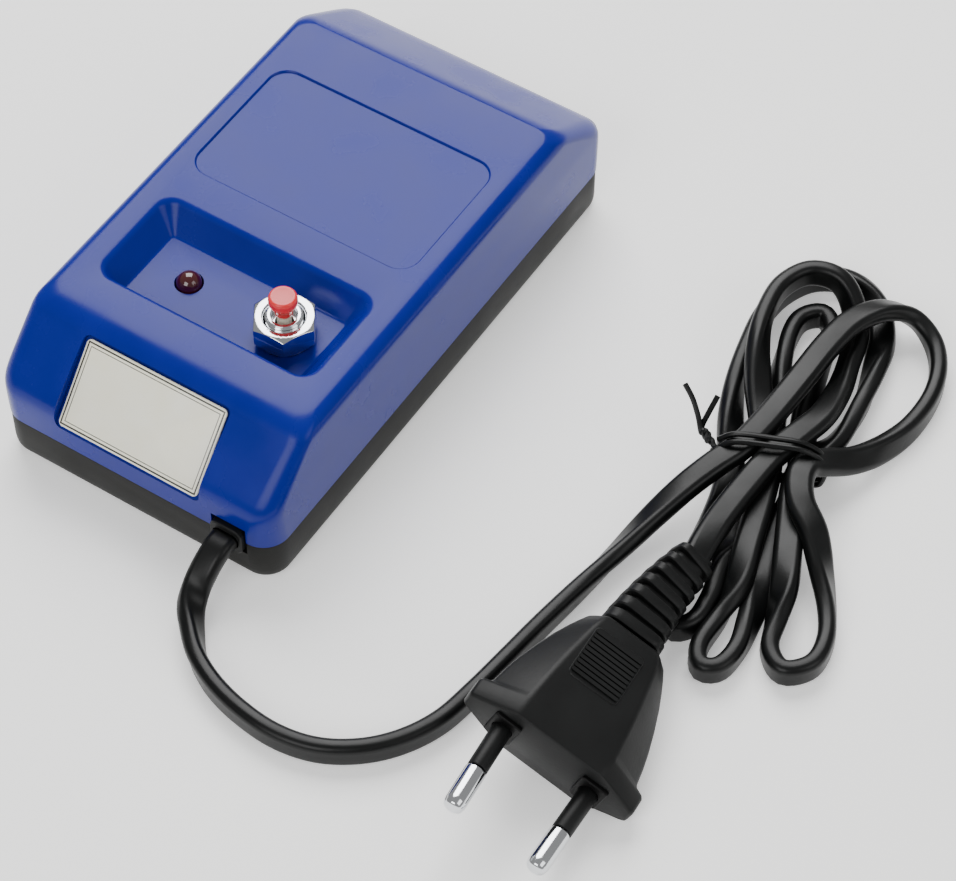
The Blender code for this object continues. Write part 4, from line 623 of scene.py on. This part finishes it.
def makeTopShell():
    def tool(name, rings):
        return finishMesh(name, loftMesh(rings), blueAbs)

    top, split, wall = case["top"], case["split"], case["wall"]
    hollow = tool("topHollow", [caseRing(split, wall, split - 3, 6)]
                  + [caseRing(z, wall, None, 6) for z in caseLevels(top - case["roof"], 8)[1:]])
    keepIn = [tool("well", [pocketRing(z, pocket["wall"], 4) for z in (panelUnder, top + 2)])]
    keepIn += rods([(*lampAt, 23.7, pocketFloor, 4.2)], blueAbs)
    keepIn.append(finishMesh("plateBacking", boxMesh((-18.4, -11.5, -2), (18.4, 11.5, 12)), blueAbs,
                             place=plateMatrix()))
    keepIn += rods([(x, y, split + case["gap"], top, 3.0) for name, x, y in screwPlaces()], blueAbs)
    cutBy(hollow, keepIn)
    shell = tool("caseTop", [caseRing(z) for z in caseLevels(top, 16)])
    # pocket with a rounded lip and a small radius at its floor
    lip = pocket["lip"]
    rings = [pocketRing(pocketFloor + rise, grow) for rise, grow in ((0, -0.35), (0.12, -0.1), (0.4, 0))]
    rings.append(pocketRing(top - lip))
    for step in (22, 45, 68, 90):
        turn = math.radians(step)
        rings.append(pocketRing(min(top - lip * (1 - math.sin(turn)), top), lip * (1 - math.cos(turn))))
    rings.append([point + Vector((0, 0, 3)) for point in rings[-1]])
    tools = [hollow, tool("pocketCavity", rings)]
    # working pad: a shallow recess inside a fine rounded rim
    side, low, high, corner = pad["side"], pad["low"], pad["high"], pad["corner"]
    tools.append(tool("padRecess", [
        ringPoints(-side + g, side - g, low + g, high - g, corner - g, top - d, 8)
        for g, d in ((0.0, pad["depth"]), (-0.1, pad["depth"] * 0.45), (-0.35, 0.0), (-0.35, -3.0))]))
    half, up = plate["width"] / 2 + plate["margin"], plate["height"] / 2 + plate["margin"]
    facet = [ringPoints(-half, half, -up, up, 1.4, z, 6) for z in (0, 12)]
    tools.append(finishMesh("plateFacet", loftMesh(facet), blueAbs, place=plateMatrix()))
    tools += rods([(*lampAt, 18, 34, 2.8), (*buttonAt, 20, 34, 3.9)], blueAbs)
    tools += rods([(x, y, 9.5, case["screwTop"], 1.6, 20) for name, x, y in screwPlaces()], blueAbs)
    cutBy(shell, tools + outletTools(blueAbs))
    return settle(rolled(shell, 0.22), "case", "body", "top_shell")


tray = {"lip": 2.0, "lipInset": 2.3, "inside": 3.3, "boss": 3.9, "smallBoss": 2.6, "screwHole": 1.6,
        "headWell": 2.9, "headSeat": 5.2, "smallHole": 1.3, "footSeat": 4.3, "footDepth": 2.0,
        "coreScrews": ((-24.9, 11.8), (24.9, 11.8)), "clampScrews": ((8.0, -52.2), (8.0, -41.8))}


def makeTray():
    split, bottom, below = case["split"] - case["gap"], case["bottom"], -1
    outside = [(1.1, bottom), (0.7, 1.3), (0.45, 1.6), (0.28, 2.2), (0.18, 3.2), (0.15, split - 0.25),
               (0.3, split), (tray["lipInset"], split), (tray["lipInset"], split + tray["lip"])]
    shell = finishMesh("tray", loftMesh([caseRing(case["split"], *row) for row in outside]), charcoalAbs)
    inside = [caseRing(case["split"], tray["inside"], z, 8) for z in (case["floor"], split + 3)]
    hollow = finishMesh("trayHollow", loftMesh(inside), charcoalAbs)
    screws = [(x, y) for name, x, y in screwPlaces()]
    bosses = [(*at, bottom, split, tray["boss"]) for at in screws]
    for places, top in ((tray["coreScrews"], 7.7), (tray["clampScrews"], 10.2)):
        bosses += [(*at, bottom, top, tray["smallBoss"]) for at in places]
    cutBy(hollow, rods(bosses, charcoalAbs))
    holes = []
    for at in screws:
        holes += [(*at, below, 13.5, tray["screwHole"], 24), (*at, below, tray["headSeat"], tray["headWell"])]
    for places, low, high in ((tray["coreScrews"], 2.8, 9), (tray["clampScrews"], 4.2, 11.2)):
        holes += [(*at, low, high, tray["smallHole"], 20) for at in places]
    holes += [(*at, below, tray["footDepth"], tray["footSeat"]) for name, at in footPlaces()]
    cutBy(shell, [hollow] + rods(holes, charcoalAbs) + outletTools(charcoalAbs))
    return settle(rolled(shell, 0.15), "case", "base", "base_shell")


def footPlaces():
    for name in ("front_left", "front_right", "back_left", "back_right"):
        low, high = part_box("foot_" + name)
        yield name, tuple((low + high) * 500)[:2]


def makeFeet():
    profile = softened([(0, 1.7), (4, 1.7), (4, 0.5), (3.4, 0.02), (1.2, 0.02), (0, 0.35)], 0.35)
    for name, at in footPlaces():
        foot = finishMesh("rubberFoot." + name, latheMesh(profile, 48, at), footRubber)
        settle(foot, "case", "rubber", "foot_" + name)


def makeScrews():
    # Pan heads with a cross recess, sunk in the tray's wells
    for name, x, y in screwPlaces():
        seat, head = 4.9, 2.6
        profile = softened([(0, seat - 1.7), (1.7, seat - 1.6), (head, seat - 0.7), (head, seat), (1.3, seat),
                            (1.3, seat + 12.8), (0.5, seat + 14), (0, seat + 14)], 0.3)
        screw = finishMesh("caseScrew." + name, latheMesh(profile, 40, (x, y)), zincSteel)
        arms = [finishMesh("arm", boxMesh((x - a, y - b, seat - 3), (x + a, y + b, seat - 0.7)), zincSteel)
                for a, b in ((1.5, 0.32), (0.32, 1.5))]
        cutBy(screw, arms)
        settle(screw, "case", "steel", "case_screw_" + name)


makeTopShell()
makeTray()
makeFeet()
makeScrews()
print("case done")


# Rating plate: lacquered foil with a plain printed border and nothing in it

def makePlate():
    foil, tree, shader = newMaterial("creamLacqueredFoil", "faf7e2", 0.34, Coat_Weight=0.25)
    spot = addNode(tree, "ShaderNodeUVMap", uv_map="plateFace").outputs["UV"]
    apart = addNode(tree, "ShaderNodeSeparateXYZ", [("Vector", spot)])
    place = addNode(tree, "ShaderNodeTexCoord").outputs["Object"]
    cloud = addNode(tree, "ShaderNodeTexNoise", [("Vector", place), ("Scale", 160.0), ("Detail", 5.0)])
    lines = None
    # distance in mm from the printed edge, for a wide line and a fine one inside it
    for inset, width in ((0.55, 0.32), (1.25, 0.16)):
        reach = []
        for socket, half in (("X", plate["width"] / 2), ("Y", plate["height"] / 2)):
            size = addNode(tree, "ShaderNodeMath", [(0, apart.outputs[socket])], operation="ABSOLUTE")
            reach.append(addNode(tree, "ShaderNodeMath", [(0, half - inset), (1, size.outputs[0])],
                                 operation="SUBTRACT"))
        nearest = addNode(tree, "ShaderNodeMath", [(0, reach[0].outputs[0]), (1, reach[1].outputs[0])],
                          operation="MINIMUM")
        off = addNode(tree, "ShaderNodeMath", [(0, nearest.outputs[0])], operation="ABSOLUTE")
        line = addNode(tree, "ShaderNodeMath", [(0, off.outputs[0]), (1, width / 2)], operation="LESS_THAN")
        lines = line if lines is None else addNode(
            tree, "ShaderNodeMath", [(0, lines.outputs[0]), (1, line.outputs[0])], operation="MAXIMUM")
    tone = addNode(tree, "ShaderNodeValToRGB", [("Fac", cloud.outputs["Fac"])])
    for element, colour in zip(tone.color_ramp.elements, ("f8f4d8", "fffef2")):
        element.color = hexColour(colour)
    inked = addNode(tree, "ShaderNodeMixRGB", [("Fac", lines.outputs[0]), ("Color1", tone.outputs["Color"]),
                    ("Color2", hexColour("2c2a26"))])
    tree.links.new(inked.outputs["Color"], shader.inputs["Base Color"])
    bump = addNode(tree, "ShaderNodeBump", [("Height", cloud.outputs["Fac"]), ("Distance", 0.03 * mm)])
    tree.links.new(bump.outputs["Normal"], shader.inputs["Normal"])
    half, up = plate["width"] / 2, plate["height"] / 2
    rings = [ringPoints(-half + g, half - g, -up + g, up - g, plate["corner"], z, 5)
             for g, z in ((0.1, 0.3), (0, 0.36), (0, 0.66), (0.06, 0.75), (0.2, 0.8))]
    bm = loftMesh(rings)
    uv = bm.loops.layers.uv.new("plateFace")
    for face in bm.faces:
        for loop in face.loops:
            loop[uv].uv = loop.vert.co.xy
    made = finishMesh("ratingPlate", bm, foil, 50, plateMatrix())
    return settle(made, "case", "plate", "rating_plate")


def makeLamp():
    dome, radius = pocketFloor - 0.2, 2.5
    profile = [(0, dome + radius)]
    for a in range(84, -1, -6):
        turn = math.radians(a)
        profile.append((radius * math.cos(turn), dome + radius * math.sin(turn)))
    shank = [(2.5, dome), (2.5, dome - 5.1), (2.9, dome - 5.1), (2.9, dome - 6.1), (0, dome - 6.1)]
    profile += softened(shank, 0.2)[1:]
    made = finishMesh("indicatorLamp", latheMesh(profile, 56, lampAt), redEpoxy)
    return settle(made, "case", "lamp", "lamp_lens")


makePlate()
makeLamp()
print("plate and lamp done")


# Push button: red cap over a threaded bush with its hex nut

button = {"bushTop": 33.0, "bore": 1.7, "mouth": 2.5, "flange": 5.6, "pitch": 0.75,
          "nutFlats": 11.2, "nutLow": 27.7, "nutHigh": 32.5, "nutTurn": math.radians(3),
          "capLow": 33.3, "capHigh": 38.2, "cap": 2.75, "neck": 1.6}


def makeBush():
    top, under = button["bushTop"], panelUnder - 0.3
    core = bushRadius - 0.28
    mouth, flange, bore = button["mouth"], button["flange"], button["bore"]
    profile = softened([(mouth, top), (core - 0.15, top), (core, top - 0.3), (core, under), (flange, under),
                        (flange, under - 1.8), (bore, under - 1.8), (bore, top - 2.0), (mouth, top - 2.0)],
                       0.15, 3, True)
    body = finishMesh("bushCore", latheMesh(profile, 64, buttonAt), chromePlate)
    # thread: one V-shaped ring repeated up the bush
    half, crest = button["pitch"] * 0.46, bushRadius
    ring = finishMesh("threadRing", latheMesh([(core - 0.1, -half), (crest, -0.06), (crest, 0.06),
                                               (core - 0.1, half)][::-1], 56), chromePlate)
    low = under + 0.5
    count = int((top - 0.45 - low) / button["pitch"])
    path = [(*buttonAt, low + 0.1), (*buttonAt, low + 0.1 + count * button["pitch"])]
    thread = rowOf("bushThread", ring, path, count + 1, chromePlate)
    return settle(joined("threadedBush", [body, thread]), "case", "chrome", "switch_bush")


def makeNut():
    low, high, flats = button["nutLow"], button["nutHigh"], button["nutFlats"] / 2
    corner = flats / math.cos(math.pi / 6)
    rings = [[Vector((corner * math.cos(math.tau * i / 6), corner * math.sin(math.tau * i / 6), z))
              for i in range(6)] for z in (low, high)]
    place = Matrix.Translation((*buttonAt, 0)) @ Matrix.Rotation(button["nutTurn"], 4, "Z")
    nut = finishMesh("hexNut", loftMesh(rings), chromePlate, place=place)
    drop = (corner - flats) * 0.62
    face, edge, rise = flats - 0.1, corner + 0.25, drop + 0.12
    cone = latheMesh([(0, high), (face, high), (edge, high - rise), (edge, low + rise), (face, low),
                      (0, low)], 96, buttonAt)
    cutBy(nut, [finishMesh("chamfer", cone, chromePlate)], "INTERSECT")
    bore = latheMesh([(0, high + 1), (4.8, high + 1), (3.9, high - 0.4), (3.9, low + 0.4), (4.8, low - 1),
                      (0, low - 1)], 64, buttonAt)
    cutBy(nut, [finishMesh("bore", bore, chromePlate)])
    return settle(rolled(nut, 0.12, 2, 30), "case", "chrome", "switch_nut")


def makeWasher():
    profile = softened([(3.9, 27.4), (5.3, 27.4), (5.3, 27.0), (3.9, 27.0)], 0.12, 3, True)
    made = finishMesh("switchWasher", latheMesh(profile, 64, buttonAt), zincSteel)
    return settle(made, "case", "steel", "switch_washer")


def makeCap():
    low, high, wide, neck = button["capLow"], button["capHigh"], button["cap"], button["neck"]
    profile = softened([(0, high - 0.22), (1.2, high - 0.16), (wide - 0.4, high), (wide, high - 0.6),
                        (wide, high - 1.9), (neck + 0.35, low + 1.5), (neck, low), (0, low)], 0.45, 5)
    made = finishMesh("buttonCap", latheMesh(profile, 64, buttonAt), redAbs, 50)
    return settle(made, "button", "button", "button_cap")


makeBush()
makeNut()
makeWasher()
makeCap()
print("button done")


# Grommet, plug and tie on the lead

def makeGrommet():
    rings = []
    for y, grow, corner in ((-58.7, -0.25, 1.6), (-58.5, 0, 1.8), (-53.9, 0, 1.8), (-53.9, 1.0, 2.2),
                            (-52.85, 1.0, 2.2)):
        rings.append(uprightRing(outlet["halfX"] + grow, outlet["halfZ"] + grow, corner, y, outlet["x"],
                                 outlet["z"]))
    made = finishMesh("cordGrommet", loftMesh(rings), plugPvc)
    hole = [uprightRing(2.85, 1.85, 1.5, y, outlet["x"], outlet["z"]) for y in (-59.5, -56.5)]
    cutBy(made, [finishMesh("cordHole", loftMesh(hole), plugPvc)])
    return settle(made, "case", "rubber", "cord_grommet")


plug = {"origin": (95.5, -66.4, 9.9), "yaw": 3.0, "noseUp": 1.2, "roll": 21.5, "pins": 18.6, "toeIn": 1.66,
        "pinLength": 19.0, "pin": 2.0, "sleeve": 1.9, "sleeveLength": 10.0,
        "ribs": 10, "ribPitch": 1.0, "reliefStart": 28.0, "reliefEnd": 51.6, "reliefRings": 7}
plugMatrix = (Matrix.Translation(plug["origin"]) @ Matrix.Rotation(math.radians(plug["yaw"]), 4, "Z")
              @ Matrix.Rotation(math.radians(-plug["noseUp"]), 4, "X")
              @ Matrix.Rotation(math.radians(plug["roll"]), 4, "Y"))


def plugSection(along, halfX, flat, halfZ, edge, soft=0.7):
    # Flattened hexagon: flat top and bottom, sloped flanks, upright edges
    corners = [(halfX, edge), (flat, halfZ), (-flat, halfZ), (-halfX, edge),
               (-halfX, -edge), (-flat, -halfZ), (flat, -halfZ), (halfX, -edge)]
    return [Vector((x, along, z)) for x, z in softened(corners, soft, 4, True)]


def reliefLine(along):
    return max(0.0, along - 30.0) ** 2 * 0.0045


def makePlug():
    stations = [(0.0, 17.0, 8.5, 6.1, 1.7), (0.25, 17.4, 8.8, 6.5, 1.9), (0.7, 17.6, 9.0, 6.65, 2.0),
                (3.7, 17.6, 9.0, 6.7, 2.0), (4.2, 17.3, 9.0, 6.7, 2.0), (4.9, 15.9, 8.9, 6.7, 1.9),
                (5.6, 15.5, 8.9, 6.75, 1.9), (9.0, 14.9, 8.6, 6.8, 1.95), (12.0, 14.2, 8.3, 6.8, 2.0),
                (16.0, 13.0, 7.8, 6.8, 2.2), (20.0, 11.6, 7.2, 6.8, 2.4), (23.0, 10.3, 6.8, 6.7, 2.6),
                (25.0, 9.3, 6.4, 6.5, 2.8), (26.6, 8.4, 5.9, 6.3, 2.95), (27.3, 7.7, 5.4, 5.9, 2.8),
                (27.7, 6.6, 4.6, 5.0, 2.6)]
    body = loftMesh([plugSection(*row) for row in stations])
    body = finishMesh("plugMoulding", body, plugPvc, 24, plugMatrix)
    core = []
    for i in range(25):
        along = 27.0 + (plug["reliefEnd"] - 27.0) * i / 24
        size = 5.1 - 1.9 * i / 24
        core.append(uprightRing(size, size * 0.85, size * 0.5, along, reliefLine(along), 0, 5))
    core = finishMesh("reliefCore", loftMesh(core), plugPvc, place=plugMatrix)
    # relief rings: one rounded collar repeated and shrinking along the bend
    collar = []
    for z, size in ((-1.25, 0.86), (-1.15, 0.97), (-0.85, 1.0), (0.85, 1.0), (1.15, 0.97), (1.25, 0.86)):
        collar.append(ringPoints(-6.1 * size, 6.1 * size, -5.2 * size, 5.2 * size, 2.6, z, 6))
    collar = finishMesh("reliefCollar", loftMesh(collar), plugPvc)
    path = []
    for i in range(20):
        along = plug["reliefStart"] + 1.6 + (plug["reliefEnd"] - plug["reliefStart"] - 3.2) * i / 19
        path.append((reliefLine(along), along, 0))
    rings = rowOf("reliefRings", collar, path, plug["reliefRings"], plugPvc, 1.0, 0.68, plugMatrix)
    pieces = [body, core, rings]
    # finger ribs on both faces, on a low panel
    for way in (1, -1):
        turn = plugMatrix @ Matrix.Rotation(math.pi if way < 0 else 0, 4, "Y")
        rib = loftMesh([ringPoints(-4.9 + g, 4.9 - g, -0.36 + g * 0.5, 0.36 - g * 0.5, 0.3, z, 3)
                        for g, z in ((0, -0.5), (0, 0.12), (0.2, 0.36), (0.34, 0.4))])
        rib = finishMesh("fingerRib", rib, plugPvc)
        rib.data.transform(Matrix.Rotation(-math.pi / 2, 4, "X"))
        start = 13.6
        path = [(-1.0, start, 6.85), (-1.0, start + plug["ribPitch"] * (plug["ribs"] - 1), 6.85)]
        pieces.append(rowOf("fingerRibs", rib, path, plug["ribs"], plugPvc, place=turn))
        panel = loftMesh([ringPoints(-6.2 + g, 4.2 - g, 12.4 + g, 23.8 - g, 1.0, z, 4)
                          for g, z in ((0, 6.4), (0, 6.85), (0.15, 7.0))])
        pieces.append(finishMesh("ribPanel", panel, plugPvc, place=turn))
    # dark square collars at the pin roots
    for way in (-1, 1):
        x = way * plug["pins"] / 2
        ring = [uprightRing(2.7 - g, 3.6 - g, 0.5, y, x, 0, 4)
                for y, g in ((1.0, 0), (-0.55, 0), (-0.75, 0.2))]
        collar = finishMesh("pinCollar", loftMesh(ring), collarPvc, place=plugMatrix)
        place = plugMatrix @ Matrix.Translation((x, 0, 0)) @ quarterX
        bore = finishMesh("collarBore", rodMesh(0, 0, -2.5, 1.5, 2.05), collarPvc, place=place)
        cutBy(collar, [bore])
        pieces.append(collar)
    made = settle(joined("mainsPlug", pieces), "case", "plug", "plug_body")
    return made


def makePins():
    made = []
    for label, way in (("left", -1), ("right", 1)):
        place = (plugMatrix @ Matrix.Translation((way * plug["pins"] / 2, 0, 0))
                 @ Matrix.Rotation(math.radians(-way * plug["toeIn"]), 4, "Z")
                 @ quarterX)
        tip, step, radius = plug["pinLength"], plug["sleeveLength"], plug["pin"]
        profile = softened([(0, tip), (radius * 0.5, tip), (radius * 0.86, tip - 0.4), (radius, tip - 1.5),
                            (radius, step + 0.1), (1.2, step), (1.2, -5.5), (0, -5.5)], 0.35)
        pin = finishMesh("plugPin." + label, latheMesh(profile, 48), chromePlate, 50, place)
        settle(pin, "case", "pins", "plug_pin_" + label)
        outer, end = plug["sleeve"], step - 0.15
        profile = softened([(1.35, end), (outer, end), (outer, 0.1), (1.35, 0.1)], 0.18, 3, True)
        sleeve = finishMesh("pinSleeve." + label, latheMesh(profile, 48), plugPvc, 50, place)
        settle(sleeve, "case", "plug", "pin_sleeve_" + label)
        made += [pin, sleeve]
    return made


def wireMesh(points, radius, per=8, sides=10):
    # A round wire through the points, with parallel-carried rings
    line = [Vector(point) for point in catmull(points, per)]
    bm = bmesh.new()
    across, rings = None, []
    for i, here in enumerate(line):
        ahead = (line[min(i + 1, len(line) - 1)] - line[max(i - 1, 0)]).normalized()
        if across is None:
            across = ahead.orthogonal().normalized()
        across = (across - ahead * across.dot(ahead)).normalized()
        other = ahead.cross(across)
        rings.append([bm.verts.new(here + (across * math.cos(math.tau * k / sides)
                                           + other * math.sin(math.tau * k / sides)) * radius)
                      for k in range(sides)])
    for a, b in zip(rings, rings[1:]):
        for k in range(sides):
            bm.faces.new((a[k], a[(k + 1) % sides], b[(k + 1) % sides], b[k]))
    bm.faces.new(list(reversed(rings[0])))
    bm.faces.new(rings[-1])
    return bm


tie = {"centre": (94.5, 12.6), "lean": math.radians(22.7), "wide": 10.2, "low": 0.72, "high": 11.6,
       "wire": 0.55}


def makeTie():
    along = Vector((math.cos(tie["lean"]), math.sin(tie["lean"]), 0))
    out = Vector((-along.y, along.x, 0))
    centre = Vector((*tie["centre"], 0))
    low, high, wide = tie["low"], tie["high"], tie["wide"]

    def spot(u, z, v=0.0):
        return centre + along * u + out * v + Vector((0, 0, z))

    loop = [(-wide + 0.3, high - 2.2), (-6.6, high + 0.1), (0, high + 0.35), (6.2, high - 0.1),
            (wide, high - 3.4), (wide + 0.1, 3.0), (wide - 1.8, low + 0.15), (0, low + 0.15),
            (-wide + 2.0, low + 0.15), (-wide, 3.0), (-wide - 0.4, 6.6)]
    points = [spot(u, z, -0.4 + 0.16 * i) for i, (u, z) in enumerate(loop)]
    # second turn a little behind the first, then the twisted neck and two free ends
    second = [spot(u * 0.99, z, 1.6 + 0.05 * i) for i, (u, z) in enumerate(loop)]
    neck, other = [[spot(-wide - 0.7 - 0.45 * k, 8.6 + 0.3 * k + way * math.cos(k * 2.2),
                         1.2 + 0.35 * k + way * math.sin(k * 2.2)) for k in range(6)] for way in (0.7, -0.7)]
    ends = [spot(-wide - 3.9, 11.6, 4.6), spot(-wide - 5.4, 13.4, 7.2), spot(-wide - 7.2, 14.6, 9.4)]
    otherEnds = [spot(-wide - 2.2, 12.0, 5.0), spot(-wide - 0.8, 14.2, 8.0)]
    first = finishMesh("tieFirst", wireMesh(ends[::-1] + neck[::-1] + points, tie["wire"]), cordPvc)
    again = finishMesh("tieSecond", wireMesh(second + other[1:] + otherEnds, tie["wire"]), cordPvc)
    made = joined("twistTie", [first, again])
    return settle(made, "case", "cord", "twist_tie")


grommet = makeGrommet()
mainsPlug = makePlug()
plugPieces = [mainsPlug] + makePins() + [makeTie(), grommet]
print("plug and tie done")


# Inside: sheets of the core and turns of the winding, then finishes for every other part

def makeCore():
    low, high = (corner * 1000 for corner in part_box("core_laminations"))
    half, legs, middle, bar = high.x, 4.5, 5.0, 7.0
    outline = [(half, low.z), (half, high.z), (half - legs, high.z), (half - legs, low.z + bar),
               (middle, low.z + bar), (middle, high.z)]
    outline += [(-x, z) for x, z in reversed(outline)]
    bm = bmesh.new()
    thick = 0.42
    for y in (-thick / 2, thick / 2):
        bm.faces.new([bm.verts.new((x, -z, y)) for x, z in outline])
    bm.verts.ensure_lookup_table()
    count = len(outline)
    for i in range(count):
        j = (i + 1) % count
        bm.faces.new((bm.verts[i], bm.verts[j], bm.verts[count + j], bm.verts[count + i]))
    sheet = finishMesh("coreSheet", bm, siliconSteel)
    sheets = 32
    path = [(0, low.y + 0.25, 0), (0, high.y - 0.25, 0)]
    made = rowOf("coreLaminations", sheet, path, sheets, siliconSteel)
    return settle(made, "case", "core", "core_laminations")


def makeWinding():
    low, high = (corner * 1000 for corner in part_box("coil_winding"))
    middle = (low + high) / 2
    halfX, halfY, wire = (high.x - low.x) / 2 - 0.24, (high.y - low.y) / 2 - 0.24, 0.24
    bm = bmesh.new()
    rings = []
    inner = ringPoints(-halfX, halfX, -halfY, halfY, 1.6, 0, 4)
    for turn in range(8):
        a = math.tau * turn / 8
        grow = wire * math.cos(a)
        rings.append([Vector((p.x * (1 + grow / halfX), p.y * (1 + grow / halfY), wire * math.sin(a)))
                      for p in inner])
    levels = [[bm.verts.new(p) for p in ring] for ring in rings]
    for k in range(8):
        a, b = levels[k], levels[(k + 1) % 8]
        for i in range(len(a)):
            j = (i + 1) % len(a)
            bm.faces.new((a[i], a[j], b[j], b[i]))
    turnUnit = finishMesh("windingTurn", bm, enamelCopper, 60)
    rise = high.z - low.z - 2 * wire
    path = [(middle.x, middle.y, low.z + wire), (middle.x, middle.y, high.z - wire)]
    outer = rowOf("windingOuter", turnUnit, path, int(rise / (2 * wire)) + 1, enamelCopper)
    # the body of the turns beneath, one closed sleeve
    holeX, holeY = 6.6, (high.y - low.y) / 2 - (halfX + wire - 6.6)
    sides = []
    for x, y, corner, levels in ((halfX + 0.02, halfY + 0.02, 1.5, (low.z, high.z)),
                                 (holeX, holeY, 0.8, (low.z - 1, high.z + 1))):
        rings = [ringPoints(middle.x - x, middle.x + x, middle.y - y, middle.y + y, corner, z, 4)
                 for z in levels]
        sides.append(loftMesh(rings))
    sleeve, hole = (finishMesh("windingBody", side, enamelCopper) for side in sides)
    cutBy(sleeve, [hole])
    return settle(joined("coilWinding", [outer, sleeve]), "case", "copper", "coil_winding")


makeCore()
makeWinding()

finishes = {
    charcoalAbs: ("switch_body",), naturalNylon: ("button_plunger", "coil_bobbin"),
    stampedBrass: ("switch_terminal_live", "switch_terminal_load", "moving_contact", "coil_tag_neutral",
                   "coil_tag_load"),
    zincSteel: ("return_spring", "lamp_lead_cathode", "lamp_lead_anode", "core_frame", "core_screw_left",
                "core_screw_right", "cord_clamp_bar", "clamp_screw_front", "clamp_screw_back"),
    yellowTape: ("coil_wrap",), ceramicBody: ("lamp_resistor",), cordPvc: ("lamp_diode", "cord_inner_end"),
    wireColours["brown"]: ("wire_live", "wire_coil_feed"),
    wireColours["blue"]: ("wire_neutral", "wire_lamp_return"), wireColours["red"]: ("wire_lamp_feed",),
}
for finish, names in finishes.items():
    for name in names:
        nodes[name].data.materials.clear()
        nodes[name].data.materials.append(finish)
unfinished = [name for name, node in nodes.items()
              if not node.hide_render and not any(name in names for names in finishes.values())]
print("inside done, without a finish:", unfinished)


# Studio: pale floor, one big soft panel behind for the haze on the top, softer fills

studio = {"floor": "f6f6f5", "glow": 0.45, "world": 0.35, "panel": 20.0, "key": 5.5, "fill": 2.5}


def makeStudio():
    opal, tree, shader = newMaterial("opalAcrylicTable", studio["floor"], 0.9,
                                     Emission_Strength=studio["glow"])
    shader.inputs["Emission Color"].default_value = hexColour("ffffff")
    surfaceDetail(tree, shader, 2.0, 0.01, 0.85, 0.95)
    bm = bmesh.new()
    reach = 1500
    bm.faces.new([bm.verts.new((x * reach, y * reach, 0)) for x, y in ((-1, -1), (1, -1), (1, 1), (-1, 1))])
    floor = finishMesh("tableFloor", bm, opal)
    if floor.data.polygons[0].normal.z < 0:
        floor.data.flip_normals()
    world = bpy.data.worlds.new("studioWorld")
    world.use_nodes = True
    world.node_tree.nodes["Background"].inputs["Color"].default_value = hexColour("ffffff")
    world.node_tree.nodes["Background"].inputs["Strength"].default_value = studio["world"]
    bpy.context.scene.world = world
    a = math.radians(view["turn"])
    ahead = Vector((-math.sin(a), math.cos(a), 0))
    right = Vector((math.cos(a), math.sin(a), 0))
    panels = (("backPanel", ahead * 0.75 + Vector((0, 0, 0.95)), 0.9, studio["panel"]),
              ("keyPanel", -right * 0.45 - ahead * 0.75 + Vector((0, 0, 0.7)), 0.6, studio["key"]),
              ("fillPanel", right * 0.8 - ahead * 0.5 + Vector((0, 0, 0.7)), 0.6, studio["fill"]))
    for name, where, size, power in panels:
        lamp = bpy.data.lights.new(name, "AREA")
        lamp.shape, lamp.size, lamp.energy = "SQUARE", size, power
        aim = (Vector((0.03, -0.02, 0.01)) - where).to_track_quat("-Z", "Y").to_matrix().to_4x4()
        newObject(name, lamp).matrix_world = Matrix.Translation(where) @ aim


makeStudio()
print("studio done")
